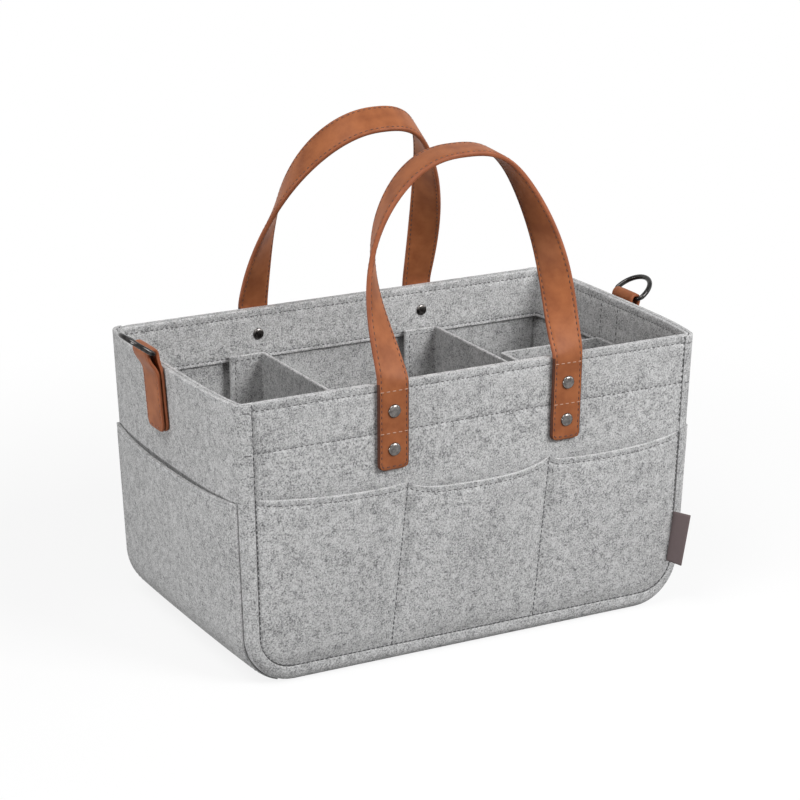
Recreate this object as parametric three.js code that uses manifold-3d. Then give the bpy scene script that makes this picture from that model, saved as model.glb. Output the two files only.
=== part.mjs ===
// Diaper caddy: a sewn felt body with outside pockets, lift-out dividers, leather handles and two D-rings.
// Millimetres, +Z up. The front faces -Y, and the origin is on the floor under the middle of the base.
import * as THREE from 'three';
import { mergeVertices } from 'three/addons/utils/BufferGeometryUtils.js';
import Module from 'manifold-3d';

const wasm = await Module();
wasm.setup();

// Felt body, measured outside at the rim
const LENGTH = 380;
const DEPTH = 232;
const HEIGHT = 216;
const FELT = 3;
const FIT = 0.3; // clearance between layers that lie on each other
const END_TAPER = 6; // each end wall draws in this far at the base
const SIDE_TAPER = 4; // so do the front and the back
const END_BOW = 8; // each end wall bows out this far at the rim
const END_FULLNESS = 4; // exponent of the bow, where 2 is a parabola
const BASE_RADIUS = 38; // the gusset band turns from end to base on this radius
const CORNER_RADIUS = 8; // the band turns from end to front on this radius
const LIP = 9; // width of the band's turned edge, seen from the front
const PANEL_RECESS = 2; // the front and back panels lie this far behind the lip
const EDGE_ROUND = 0.8; // worn roundness of a cut felt edge
const FACING_HEIGHT = 40;

// Pockets
const POCKET_DROP = 78; // depth of the front and back mouths below the rim, at their seams
const POCKET_SAGS = [4, 8, 5]; // each bay's mouth hangs this much lower between its seams
const END_POCKET_DROP = 74;
const END_POCKET_SAG = 3;
const POCKET_GAPE = 7; // a mouth stands this far off the wall between its seams
const POCKET_PINCH = 0.5; // a sewn edge is pressed to this share of the felt
const PINCH_REACH = 9; // and swells to full thickness over this distance
const POCKET_SEAMS = [[-57, -71], [64, 54]]; // each seam's x, at the mouth and at the base
const END_TUCK = 60 * Math.PI / 180; // an end pocket runs this far round the base radius

// Dividers and their hook-and-loop tapes
const DIVIDER_DROP = 34; // depth of the dividers' top edges below the rim
const DIVIDER_TAB = 29; // the folded tab, from the panel's middle
const DIVIDER_FOLD = 4; // outer radius of the fold
const LEFT_DIVIDER_X = -68;
const RIGHT_DIVIDER_X = 87;
const CROSS_DIVIDER_Y = 12;
const TAPE_WIDTH = 20;
const TAPE_LOW = 45;
const TAPE_DROP = 74; // the tapes start this far below the rim, under the lower rivets

// Leather straps
const STRAP_WIDTH = 25;
const STRAP = 4; // two layers sewn together
const STRAP_EDGE = 0.7;
const STRAP_CORNER = 5; // corners of a riveted end
const STRAP_DROP = 65; // a riveted end reaches this far below the rim
const HANDLE_PLACE = 3; // the handles stand this far to the right of the middle
const HANDLE_HALF_SPAN = 73;
const HANDLE_HEIGHT = 153;
const HINGE_RISE = 3; // the strap starts to fold this far above the rim
// Each arch: exponent of its outline, where 2 is an ellipse; share by which its legs bow out half-way up;
// inward lean at the top, in a part that grows evenly and one that grows with the square; turn at the top
const FRONT_ARCH = { squareness: 2.6, swell: 0.07, lean: [78, -44], twist: 97 * Math.PI / 180 };
const BACK_ARCH = { squareness: 2.4, swell: 0, lean: [47, 30], twist: 125 * Math.PI / 180 };
const TWIST_EASE = 1.2; // the turn grows with this power of the height

// Rivets
const RIVET_DROPS = { upper: 20, lower: 49 };
const RIVET_RADIUS = 5;
const RIVET_DOME = 2.2;
const RIVET_RIM = 0.6; // straight edge under a dome
const POST_RADIUS = 1.5;
const INNER_CAP_RADIUS = 4.5;
const INNER_CAP = 1.6;
const SOCKET = 0.9; // depth of the inner cap's socket for the post

// D-rings and their tabs
const RING_WIRE = 3;
const RING_WIDTH = 35; // over the middle of the wire
const RING_REACH = 22;
const RING_CORNER = 4;
const RING_PLAY = 0.4; // clearance round the bar in its loop
const LEFT_RING_RAISE = 35 * Math.PI / 180; // angle above level, as photographed
const RIGHT_RING_RAISE = 34 * Math.PI / 180;
const TAB_LEATHER = 2.8;
const TAB_WIDTH = 28;
const TAB_CORNER = 5;
const TAB_DROP = 50; // the tab reaches this far below the rim
const LEFT_TAB_PLACE = 9; // the tabs sit this far behind the middle of the end walls
const RIGHT_TAB_PLACE = 5;
const LEFT_BAR_RISE = 12; // height of the ring's bar above the rim
const RIGHT_BAR_RISE = 0;
const LOOP_LEAN = 2; // the loop stands out from the wall
const LOOP_TAPER = 20; // the loop closes to two flat layers over this length

// Side label
const LABEL_WIDTH = 16;
const LABEL_HEIGHT = 40;
const LABEL_THICKNESS = 1;
const LABEL_LOW = 30;
const LABEL_ANGLE = -60 * Math.PI / 180; // it stands out between the front and the end

// Places that several pieces share
const PANEL_FACE = DEPTH / 2 - PANEL_RECESS; // outer face of the front and back panels
const PANEL_BACK = PANEL_FACE - FELT;
const END_BACK = LENGTH / 2 - FELT;
const STRAP_FACE = PANEL_FACE + FIT + STRAP;
const HINGE_Z = HEIGHT + HINGE_RISE;
const TAB_STANDOFF = FELT + INNER_CAP + 4 * FIT; // the dividers' tabs clear the facing and its rivet caps
const TAPE = (TAB_STANDOFF - 3 * FIT) / 2;
const DIVIDER_LOW = FELT + FIT;
const DIVIDER_TOP = HEIGHT - DIVIDER_DROP;
const TAPE_HIGH = HEIGHT - TAPE_DROP;
const LOOP_RADIUS = RING_WIRE / 2 + RING_PLAY + TAB_LEATHER;
const LOOP_CENTRE = FIT + LOOP_RADIUS + LOOP_LEAN; // distance of the ring's bar from the end wall

const group = new THREE.Group();
const lerp = THREE.MathUtils.lerp;
const smooth = (t) => THREE.MathUtils.smoothstep(t, 0, 1);

// Closed-mesh helpers

// Turns a closed mesh inside out where its faces point inward.
function facedOut(geometry) {
  const index = geometry.index.array;
  const corner = [0, 1, 2].map(() => new THREE.Vector3());
  let volume = 0;
  for (let i = 0; i < index.length; i += 3) {
    corner.forEach((point, k) => point.fromBufferAttribute(geometry.attributes.position, index[i + k]));
    volume += corner[0].dot(corner[1].clone().cross(corner[2]));
  }
  if (volume < 0) {
    geometry.setIndex(Array.from(index).reverse());
  }
  return geometry;
}

function meshOf(points, index) {
  const geometry = new THREE.BufferGeometry().setFromPoints(points);
  geometry.setIndex(index);
  return facedOut(geometry);
}

// Skin through a row of sections that have as many points each: capped ends, or a closed loop.
function loft(sections, outline) {
  const count = sections[0].length;
  const total = sections.length;
  const index = [];
  const spans = outline ? total - 1 : total;
  for (let i = 0; i < spans; i++) {
    const here = i * count;
    const next = ((i + 1) % total) * count;
    for (let j = 0; j < count; j++) {
      const k = (j + 1) % count;
      index.push(here + j, here + k, next + k, here + j, next + k, next + j);
    }
  }
  if (outline) {
    const end = (total - 1) * count;
    for (const [a, b, c] of THREE.ShapeUtils.triangulateShape(outline, [])) {
      index.push(c, b, a, end + a, end + b, end + c);
    }
  }
  return meshOf(sections.flat(), index);
}

// Sheet of felt between two surfaces that are sampled on the same grid.
function sheet(columns, rows, surface) {
  const points = [];
  for (let layer = 0; layer < 2; layer++) {
    for (let j = 0; j <= rows; j++) {
      for (let i = 0; i <= columns; i++) {
        points.push(surface(i, j, layer));
      }
    }
  }
  const at = (i, j, layer) => (layer * (rows + 1) + j) * (columns + 1) + i;
  const index = [];
  const quad = (a, b, c, d) => index.push(a, b, c, a, c, d);
  for (let j = 0; j < rows; j++) {
    for (let i = 0; i < columns; i++) {
      quad(at(i, j, 0), at(i + 1, j, 0), at(i + 1, j + 1, 0), at(i, j + 1, 0));
      quad(at(i, j + 1, 1), at(i + 1, j + 1, 1), at(i + 1, j, 1), at(i, j, 1));
    }
    quad(at(0, j, 1), at(0, j, 0), at(0, j + 1, 0), at(0, j + 1, 1));
    quad(at(columns, j, 0), at(columns, j, 1), at(columns, j + 1, 1), at(columns, j + 1, 0));
  }
  for (let i = 0; i < columns; i++) {
    quad(at(i, 0, 1), at(i + 1, 0, 1), at(i + 1, 0, 0), at(i, 0, 0));
    quad(at(i, rows, 0), at(i + 1, rows, 0), at(i + 1, rows, 1), at(i, rows, 1));
  }
  return meshOf(points, index);
}

function solid(geometry) {
  const bare = geometry.clone();
  bare.deleteAttribute('normal');
  bare.deleteAttribute('uv');
  const merged = mergeVertices(bare);
  const vertProperties = merged.attributes.position.array;
  const triVerts = Uint32Array.from(merged.index.array);
  return new wasm.Manifold(new wasm.Mesh({ numProp: 3, vertProperties, triVerts }));
}

function geometryOf(manifold) {
  const { vertProperties, triVerts } = manifold.getMesh();
  const geometry = new THREE.BufferGeometry();
  geometry.setAttribute('position', new THREE.BufferAttribute(vertProperties, 3));
  geometry.setIndex(new THREE.BufferAttribute(triVerts, 1));
  return geometry;
}

const cut = (body, tools) => geometryOf(
  tools.reduce((rest, tool) => rest.subtract(solid(tool)), solid(body)),
);
const common = (a, b) => geometryOf(solid(a).intersect(solid(b)));
const joined = (a, b) => geometryOf(solid(a).add(solid(b)));

// Extrudes a shape drawn in x and z, so that its two faces lie at y = 0 and y = -thickness.
function slab(shape, thickness, edge = 0) {
  const geometry = new THREE.ExtrudeGeometry(shape, {
    depth: thickness - 2 * edge,
    bevelEnabled: edge > 0,
    bevelThickness: edge,
    bevelSize: edge,
    bevelOffset: -edge,
    bevelSegments: 1,
    curveSegments: 6,
  });
  return geometry.translate(0, 0, edge).rotateX(Math.PI / 2);
}

function post(radius, x, y, z, length) {
  return new THREE.CylinderGeometry(radius, radius, length, 12).translate(x, y, z);
}

// Upright outline with two rounded lower corners.
function bibShape(halfWidth, bottom, top, radius) {
  const shape = new THREE.Shape();
  shape.moveTo(-halfWidth, top);
  shape.lineTo(-halfWidth, bottom + radius);
  shape.absarc(radius - halfWidth, bottom + radius, radius, Math.PI, 1.5 * Math.PI);
  shape.absarc(halfWidth - radius, bottom + radius, radius, 1.5 * Math.PI, 2 * Math.PI);
  shape.lineTo(halfWidth, top);
  return shape;
}

// Form of the sewn body: walls that draw in toward the base, and ends that bow out at the rim.

const rise = (z) => z / HEIGHT;

function sideForm(point) {
  point.y -= (2 * point.y / DEPTH) * SIDE_TAPER * (1 - rise(point.z));
  return point;
}

function bodyForm(point) {
  const along = 2 * point.x / LENGTH;
  const across = Math.max(0, 1 - (2 * point.y / DEPTH) ** END_FULLNESS);
  const share = rise(point.z);
  point.x += along ** 3 * END_BOW * share * across - along * END_TAPER * (1 - share);
  return sideForm(point);
}

function formed(geometry, form) {
  const position = geometry.attributes.position;
  const point = new THREE.Vector3();
  for (let i = 0; i < position.count; i++) {
    form(point.fromBufferAttribute(position, i));
    position.setXYZ(i, point.x, point.y, point.z);
  }
  return geometry;
}

const FINISH = {
  felt: { color: 0xa3a3a3, roughness: 0.95, metalness: 0 },
  darkFelt: { color: 0x8a8a8a, roughness: 0.95, metalness: 0 },
  tape: { color: 0x777777, roughness: 0.9, metalness: 0 },
  leather: { color: 0x9c5a38, roughness: 0.5, metalness: 0 },
  gunmetal: { color: 0x4a4642, roughness: 0.3, metalness: 1 },
  label: { color: 0x4b4340, roughness: 0.8, metalness: 0 },
};

function add(name, geometry, finish) {
  const bare = geometry.index ? geometry : mergeVertices(geometry);
  const mesh = new THREE.Mesh(bare, new THREE.MeshStandardMaterial(FINISH[finish]));
  mesh.name = name;
  group.add(mesh);
  return mesh;
}

// Gusset band: one strip for the left end, the base and the right end

// A point of the band's path: on the wall at a height, or on the base radius at an angle below level.
function bandPoint(station, depth, y) {
  const radius = BASE_RADIUS - depth;
  const x = station.side * (LENGTH / 2 - BASE_RADIUS + radius * Math.cos(station.angle));
  return new THREE.Vector3(x, y, station.height - radius * Math.sin(station.angle));
}

function bandStations() {
  const turnSteps = 8;
  const right = [{ side: 1, angle: 0, height: HEIGHT }];
  for (let i = 0; i <= turnSteps; i++) {
    right.push({ side: 1, angle: i / turnSteps * Math.PI / 2, height: BASE_RADIUS });
  }
  const left = right.map((station) => ({ ...station, side: -1 }));
  return [...left, ...right.reverse()];
}

// One face of the band's flat web, as depth below the outer face against y.
function webFace(offset) {
  const webSteps = 20;
  const reach = DEPTH / 2 - CORNER_RADIUS - FIT;
  const face = [];
  for (let i = 0; i <= webSteps; i++) {
    face.push(new THREE.Vector2(offset, reach * (2 * i / webSteps - 1)));
  }
  return face;
}

// One face of the band's turned edge at the front, in the same terms.
function edgeFace(offset) {
  const turnSteps = 4;
  const half = DEPTH / 2;
  const radius = CORNER_RADIUS - offset;
  const ease = offset === 0 ? EDGE_ROUND : 0;
  const face = [
    new THREE.Vector2(LIP, offset + ease - half),
    new THREE.Vector2(LIP - EDGE_ROUND, offset - half),
  ];
  for (let i = 0; i <= turnSteps; i++) {
    const angle = i / turnSteps * Math.PI / 2;
    const depth = CORNER_RADIUS - radius * Math.sin(angle);
    face.push(new THREE.Vector2(depth, CORNER_RADIUS - half - radius * Math.cos(angle)));
  }
  return face;
}

function bandStrip(faceAt) {
  const stations = bandStations();
  const faces = [faceAt(0), faceAt(FELT)];
  const surface = (i, j, layer) => bandPoint(stations[j], faces[layer][i].x, faces[layer][i].y);
  return formed(sheet(faces[0].length - 1, stations.length - 1, surface), bodyForm);
}

add('gusset_band', bandStrip(webFace), 'felt');

// Seam edges: the band's long edges, turned in toward the front and the back

const seamEdge = bandStrip(edgeFace);
add('front_seam_edge', seamEdge, 'felt');
add('back_seam_edge', seamEdge.clone().rotateZ(Math.PI), 'felt');

// Front and back panels, set inside the band's lip and pierced for the rivets

const panelHalf = LENGTH / 2 - LIP - FIT;
const panelLow = LIP + FIT;
const panelRadius = BASE_RADIUS - LIP - FIT;
const legSides = { left: HANDLE_PLACE - HANDLE_HALF_SPAN, right: HANDLE_PLACE + HANDLE_HALF_SPAN };
const legs = Object.values(legSides);
const rivetHeights = Object.values(RIVET_DROPS).map((drop) => HEIGHT - drop);
const rivetHoles = (places, heights) => places.flatMap((x) => heights.map(
  (z) => post(POST_RADIUS + FIT, x, 0, z, 2 * DEPTH),
));

const panelShape = bibShape(panelHalf, panelLow, HEIGHT, panelRadius);
const panelSlab = slab(panelShape, FELT, EDGE_ROUND).translate(0, -PANEL_BACK, 0);
const panel = (places) => formed(cut(panelSlab, rivetHoles(places, rivetHeights)), bodyForm);
add('front_panel', panel(legs), 'felt');
add('back_panel', panel(legs.map((x) => -x)).rotateZ(Math.PI), 'felt');

// Facing: a band of felt round the inside of the rim

function facingSections() {
  const turnSteps = 4;
  const endSteps = 20;
  const halfX = END_BACK - FIT;
  const halfY = PANEL_BACK - FIT;
  const radius = CORNER_RADIUS - FELT - FIT;
  const plan = [];
  for (let quarter = 0; quarter < 4; quarter++) {
    const sx = quarter === 0 || quarter === 3 ? 1 : -1;
    const sy = quarter < 2 ? 1 : -1;
    for (let i = 0; i <= turnSteps; i++) {
      const angle = (quarter + i / turnSteps) * Math.PI / 2;
      plan.push({ x: sx * (halfX - radius), y: sy * (halfY - radius), angle, radius });
    }
    const alongEnd = quarter % 2 === 1;
    for (let i = 1; alongEnd && i < endSteps; i++) {
      const y = sy * (halfY - radius) * (1 - 2 * i / endSteps);
      plan.push({ x: sx * (halfX - radius), y, angle: (quarter + 1) * Math.PI / 2, radius });
    }
  }
  const ring = [[0, 0], [FELT, 0], [FELT, 1], [0, 1]];
  return plan.map((spot) => ring.map(([depth, top]) => new THREE.Vector3(
    spot.x + (spot.radius - depth) * Math.cos(spot.angle),
    spot.y + (spot.radius - depth) * Math.sin(spot.angle),
    HEIGHT - FACING_HEIGHT * (1 - top),
  )));
}

const facingHoles = rivetHoles(legs, [HEIGHT - RIVET_DROPS.upper]);
add('facing', formed(cut(loft(facingSections()), facingHoles), bodyForm), 'felt');

// Front and back pockets: one panel each, sewn down at its edges and along two seams

const pinch = (distance) => FELT * lerp(POCKET_PINCH, 1, smooth(distance / PINCH_REACH));

function sidePocket() {
  const baySteps = 8;
  const rows = 7;
  const bays = POCKET_SEAMS.length + 1;
  const surface = (i, j, layer) => {
    const bay = Math.min(Math.floor(i / baySteps), bays - 1);
    const t = i / baySteps - bay;
    const v = j / rows;
    const swell = 4 * t * (1 - t);
    const top = HEIGHT - POCKET_DROP - POCKET_SAGS[bay] * (1 - (2 * t - 1) ** 4);
    const seams = POCKET_SEAMS.map(([mouth, base]) => lerp(base, mouth, v));
    const bounds = [-panelHalf, ...seams, panelHalf];
    const width = bounds[bay + 1] - bounds[bay];
    const thick = pinch(Math.min(width * t, width * (1 - t), (top - panelLow) * v));
    const stand = FIT + POCKET_GAPE * swell * v * (2 - v) + layer * thick;
    return new THREE.Vector3(bounds[bay] + width * t, -PANEL_FACE - stand, lerp(panelLow, top, v));
  };
  const bib = slab(bibShape(panelHalf, panelLow, HEIGHT, panelRadius), DEPTH);
  return formed(common(sheet(bays * baySteps, rows, surface), bib), bodyForm);
}

const pocket = sidePocket();
add('front_pocket', pocket, 'felt');
add('back_pocket', pocket.clone().rotateZ(Math.PI), 'felt');

// End pockets: one bay each, from the mouth down and round the base radius

function endPocket(side) {
  const columns = 12;
  const turnRows = 5;
  const wallRows = 6;
  const rows = turnRows + wallRows;
  const half = DEPTH / 2 - CORNER_RADIUS;
  const surface = (i, j, layer) => {
    const across = 2 * i / columns - 1;
    const v = j / rows;
    const swell = 1 - across ** 2;
    const top = HEIGHT - END_POCKET_DROP - END_POCKET_SAG * swell;
    const angle = END_TUCK * Math.max(0, 1 - j / turnRows);
    const height = lerp(BASE_RADIUS, top, Math.max(0, (j - turnRows) / wallRows));
    const thick = pinch(Math.min(half * (1 - Math.abs(across)), (top - panelLow) * v));
    const stand = FIT + POCKET_GAPE * swell * v * (2 - v) + layer * thick;
    return bandPoint({ side, angle, height }, -stand, half * across);
  };
  return formed(sheet(columns, rows, surface), bodyForm);
}

add('left_pocket', endPocket(-1), 'felt');
add('right_pocket', endPocket(1), 'felt');

// Dividers: felt panels with both ends folded the same way into tabs

// Plan of a divider that runs along y about the origin, with its tabs toward -x.
function dividerShape(half) {
  const face = FELT / 2;
  const turn = face - DIVIDER_FOLD;
  const inner = DIVIDER_FOLD - FELT;
  const shape = new THREE.Shape();
  shape.moveTo(-DIVIDER_TAB, -half);
  shape.lineTo(turn, -half);
  shape.absarc(turn, DIVIDER_FOLD - half, DIVIDER_FOLD, -Math.PI / 2, 0);
  shape.absarc(turn, half - DIVIDER_FOLD, DIVIDER_FOLD, 0, Math.PI / 2);
  shape.lineTo(-DIVIDER_TAB, half);
  shape.lineTo(-DIVIDER_TAB, half - FELT);
  shape.absarc(turn, half - DIVIDER_FOLD, inner, Math.PI / 2, 0, true);
  shape.absarc(turn, DIVIDER_FOLD - half, inner, 0, -Math.PI / 2, true);
  shape.lineTo(-DIVIDER_TAB, FELT - half);
  return shape;
}

function divider(half) {
  const options = { depth: DIVIDER_TOP - DIVIDER_LOW, bevelEnabled: false, curveSegments: 5 };
  return new THREE.ExtrudeGeometry(dividerShape(half), options).translate(0, 0, DIVIDER_LOW);
}

const tape = (thickness) => new THREE.BoxGeometry(TAPE_WIDTH, thickness, TAPE_HIGH - TAPE_LOW)
  .translate(0, 0, (TAPE_HIGH + TAPE_LOW) / 2);
const loopPlace = FIT + TAPE / 2; // middle of a loop tape from the wall that carries it
const hookPlace = TAB_STANDOFF - FIT - TAPE / 2;
const tabMiddle = -DIVIDER_TAB / 2;

for (const [name, x] of [['left_divider', LEFT_DIVIDER_X], ['right_divider', RIGHT_DIVIDER_X]]) {
  const half = PANEL_BACK - TAB_STANDOFF;
  add(name, formed(divider(half).translate(x, 0, 0), sideForm), 'darkFelt');
  for (const [wall, side] of [['front', -1], ['back', 1]]) {
    const loopTape = tape(TAPE).translate(x + tabMiddle, side * (PANEL_BACK - loopPlace), 0);
    const hookTape = tape(TAPE).translate(x + tabMiddle, side * (PANEL_BACK - hookPlace), 0);
    add(`${name}_${wall}_loop_tape`, formed(loopTape, sideForm), 'tape');
    add(`${name}_${wall}_hook_tape`, formed(hookTape, sideForm), 'tape');
  }
}

// Cross divider: upright at the right divider, leaning with the end wall on its other side

const crossLeft = RIGHT_DIVIDER_X + FELT / 2 + TAB_STANDOFF;
const crossRight = END_BACK - TAB_STANDOFF;

function crossForm(point) {
  const wall = bodyForm(new THREE.Vector3(END_BACK, 0, point.z));
  point.x += (wall.x - END_BACK) * Math.max(0, (point.x - crossLeft) / (crossRight - crossLeft));
  return point;
}

const crossMiddle = (crossLeft + crossRight) / 2;
const crossPanel = divider((crossRight - crossLeft) / 2).rotateZ(Math.PI / 2);
crossPanel.translate(crossMiddle, CROSS_DIVIDER_Y, 0);
const hollowShape = bibShape(END_BACK - FIT, DIVIDER_LOW, HEIGHT, BASE_RADIUS);
const hollow = slab(hollowShape, DEPTH).translate(0, DEPTH / 2, 0);
add('cross_divider', formed(common(crossPanel, hollow), crossForm), 'darkFelt');

const crossTape = (x) => tape(TAPE).rotateZ(Math.PI / 2).translate(x, CROSS_DIVIDER_Y + tabMiddle, 0);
const rightFace = RIGHT_DIVIDER_X + FELT / 2;
add('right_divider_side_loop_tape', crossTape(rightFace + loopPlace), 'tape');
add('cross_divider_left_hook_tape', crossTape(rightFace + hookPlace), 'tape');
add('cross_divider_right_hook_tape', formed(crossTape(END_BACK - hookPlace), crossForm), 'tape');
add('right_end_loop_tape', formed(crossTape(END_BACK - loopPlace), crossForm), 'tape');

// Handles: riveted ends on the panels, and an arch that folds at the rim

// A riveted end stops short of the round foot of the arch, whose axis lies on the strap's outer face.
function strapEnd(x) {
  const shape = bibShape(STRAP_WIDTH / 2, HEIGHT - STRAP_DROP, HINGE_Z, STRAP_CORNER);
  const strap = slab(shape, STRAP, STRAP_EDGE).translate(x, -PANEL_FACE - FIT, 0);
  const clear = STRAP + 2 * FIT;
  const foot = new THREE.CylinderGeometry(clear, clear, 2 * STRAP_WIDTH, 32);
  foot.rotateZ(Math.PI / 2).translate(x, -STRAP_FACE, HINGE_Z);
  return formed(cut(strap, [foot, ...rivetHoles([x], rivetHeights)]), bodyForm);
}

for (const [side, x] of Object.entries(legSides)) {
  add(`front_handle_${side}_end`, strapEnd(x), 'leather');
  add(`back_handle_${side}_end`, strapEnd(-x).rotateZ(Math.PI), 'leather');
}

// Middle line of an arch, from the left foot to the right, evenly spaced.
function archLine(wall, form, count) {
  const { lean, squareness, swell } = form;
  const power = 2 / squareness;
  const fine = [];
  const fineCount = 400;
  const footLean = Math.atan2(lean[0], HANDLE_HEIGHT);
  const foot = STRAP_FACE - STRAP / 2 * Math.cos(footLean);
  for (let i = 0; i <= fineCount; i++) {
    const angle = Math.PI * (1 - i / fineCount);
    const up = Math.sin(angle) ** power;
    const out = Math.sign(Math.cos(angle)) * Math.abs(Math.cos(angle)) ** power;
    const x = HANDLE_PLACE + HANDLE_HALF_SPAN * out * (1 + 16 * swell * (up * (1 - up)) ** 2);
    const y = wall * (foot - lean[0] * up - lean[1] * up ** 2);
    const z = HINGE_Z - STRAP / 2 * Math.sin(footLean) + HANDLE_HEIGHT * up;
    fine.push(new THREE.Vector3(x, y, z));
  }
  const lengths = fine.map(() => 0);
  for (let i = 1; i <= fineCount; i++) {
    lengths[i] = lengths[i - 1] + fine[i].distanceTo(fine[i - 1]);
  }
  const points = [];
  let k = 0;
  for (let i = 0; i <= count; i++) {
    const target = lengths[fineCount] * i / count;
    while (k < fineCount - 1 && lengths[k + 1] < target) {
      k++;
    }
    const t = (target - lengths[k]) / (lengths[k + 1] - lengths[k]);
    points.push(fine[k].clone().lerp(fine[k + 1], t));
  }
  return points;
}

// Strap cross-section with eased edges, as width against thickness.
function strapOutline() {
  const w = STRAP_WIDTH / 2;
  const t = STRAP / 2;
  const e = STRAP_EDGE;
  const quarter = [[w, t - e], [w - e, t]];
  const half = [...quarter, ...quarter.map(([a, b]) => [-a, b]).reverse()];
  return [...half, ...half.map(([a, b]) => [-a, -b])].map(([a, b]) => new THREE.Vector2(a, b));
}

// Round foot of a leg: a sector of a disc about the fold line, from straight down to the leg's inner face.
function archFoot(wall, lean, x) {
  const overlap = 0.15; // radians past the leg's inner face, so that foot and leg join
  const shape = new THREE.Shape();
  shape.moveTo(0, 0);
  shape.absarc(0, 0, STRAP, -Math.PI / 2, overlap - Math.atan2(lean[0], HANDLE_HEIGHT));
  const width = STRAP_WIDTH - 2 * STRAP_EDGE;
  const options = { depth: width, bevelEnabled: false, curveSegments: 8 };
  const sector = new THREE.ExtrudeGeometry(shape, options).translate(0, 0, -width / 2);
  const inward = new THREE.Vector3(0, -wall, 0);
  const up = new THREE.Vector3(0, 0, 1);
  sector.applyMatrix4(new THREE.Matrix4().makeBasis(inward, up, inward.clone().cross(up)));
  return sector.translate(x, wall * STRAP_FACE, HINGE_Z);
}

// The strap's face that looks forward at both feet turns on the way up and becomes the underside of the arch.
function arch(wall, form) {
  const count = 52;
  const line = archLine(wall, form, count);
  const forward = new THREE.Vector3(0, -1, 0);
  const outline = strapOutline();
  const sections = line.map((point, i) => {
    const tangent = line[Math.min(i + 1, count)].clone().sub(line[Math.max(i - 1, 0)]).normalize();
    const face = forward.clone().addScaledVector(tangent, -forward.dot(tangent)).normalize();
    const inside = tangent.clone().cross(face);
    const up = Math.max(0, point.z - line[0].z) / HANDLE_HEIGHT;
    const turn = form.twist * up ** TWIST_EASE;
    const normal = face.multiplyScalar(Math.cos(turn)).addScaledVector(inside, Math.sin(turn));
    const width = tangent.clone().cross(normal);
    return outline.map((p) => point.clone().addScaledVector(width, p.x).addScaledVector(normal, p.y));
  });
  return legs.reduce((body, x) => joined(body, archFoot(wall, form.lean, x)), loft(sections, outline));
}

add('front_handle', arch(-1, FRONT_ARCH), 'leather');
add('back_handle', arch(1, BACK_ARCH), 'leather');

// Rivets: a domed cap with its post outside, and a smaller cap pressed on inside

// Quarter-round crown from the edge of a cap to its axis.
function crown(radius, low, high) {
  const steps = 3;
  const points = [];
  for (let i = 0; i <= steps; i++) {
    const angle = i / steps * Math.PI / 2;
    points.push(new THREE.Vector2(radius * Math.cos(angle), low + (high - low) * Math.sin(angle)));
  }
  points[steps].x = 0;
  return points;
}

function outerCap(stem) {
  const foot = [[0, -stem], [POST_RADIUS, -stem], [POST_RADIUS, 0], [RIVET_RADIUS, 0]];
  const profile = foot.map(([r, y]) => new THREE.Vector2(r, y));
  return new THREE.LatheGeometry([...profile, ...crown(RIVET_RADIUS, RIVET_RIM, RIVET_DOME)], 14);
}

function innerCap() {
  const bore = POST_RADIUS + FIT;
  const profile = [[0, SOCKET], [bore, SOCKET], [bore, 0], [INNER_CAP_RADIUS, 0]];
  const seat = profile.map(([r, y]) => new THREE.Vector2(r, y));
  return new THREE.LatheGeometry([...seat, ...crown(INNER_CAP_RADIUS, RIVET_RIM, INNER_CAP)], 14);
}

const capSeat = STRAP_FACE + FIT;
const innerSeats = { upper: PANEL_BACK - 2 * FIT - FELT, lower: PANEL_BACK - FIT };
for (const [level, drop] of Object.entries(RIVET_DROPS)) {
  const seat = innerSeats[level];
  const stem = capSeat - seat + SOCKET - FIT;
  for (const [side, x] of Object.entries(legSides)) {
    for (const [wall, place, turn] of [['back', x, 0], ['front', -x, Math.PI]]) {
      const outer = formed(outerCap(stem).translate(place, capSeat, HEIGHT - drop), bodyForm);
      const inner = formed(innerCap().rotateX(Math.PI).translate(place, seat, HEIGHT - drop), bodyForm);
      add(`${wall}_${side}_${level}_rivet`, outer.rotateZ(turn), 'gunmetal');
      add(`${wall}_${side}_${level}_rivet_inner_cap`, inner.rotateZ(turn), 'gunmetal');
    }
  }
}

// D-ring tabs: a strap folded round the ring's bar and sewn flat on the end wall

function tabGeometry(side, place, barRise) {
  const bar = HEIGHT + barRise;
  const low = HEIGHT - TAB_DROP;
  const flat = FIT + 2 * TAB_LEATHER;
  const hole = RING_WIRE / 2 + RING_PLAY;
  const neck = bar - LOOP_TAPER;
  const bend = bar - LOOP_TAPER / 2;
  const shape = new THREE.Shape();
  shape.moveTo(FIT, low);
  shape.lineTo(flat, low);
  shape.lineTo(flat, neck);
  shape.bezierCurveTo(flat, bend, LOOP_CENTRE + LOOP_RADIUS, bend, LOOP_CENTRE + LOOP_RADIUS, bar);
  shape.absarc(LOOP_CENTRE, bar, LOOP_RADIUS, 0, Math.PI);
  shape.bezierCurveTo(LOOP_CENTRE - LOOP_RADIUS, bend, FIT, bend, FIT, neck);
  const eye = new THREE.Path();
  eye.moveTo(flat / 2, neck);
  eye.bezierCurveTo(flat / 2, bend, LOOP_CENTRE + hole, bend, LOOP_CENTRE + hole, bar);
  eye.absarc(LOOP_CENTRE, bar, hole, 0, Math.PI);
  eye.bezierCurveTo(LOOP_CENTRE - hole, bend, flat / 2, bend, flat / 2, neck);
  shape.holes.push(eye);
  const loop = slab(shape, TAB_WIDTH).translate(LENGTH / 2, TAB_WIDTH / 2, 0);
  const top = bar + 2 * LOOP_RADIUS;
  const front = slab(bibShape(TAB_WIDTH / 2, low, top, TAB_CORNER), LENGTH).rotateZ(Math.PI / 2);
  const tab = common(loop, front).rotateZ(side > 0 ? 0 : Math.PI);
  return formed(tab.translate(0, place, 0), bodyForm);
}

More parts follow.
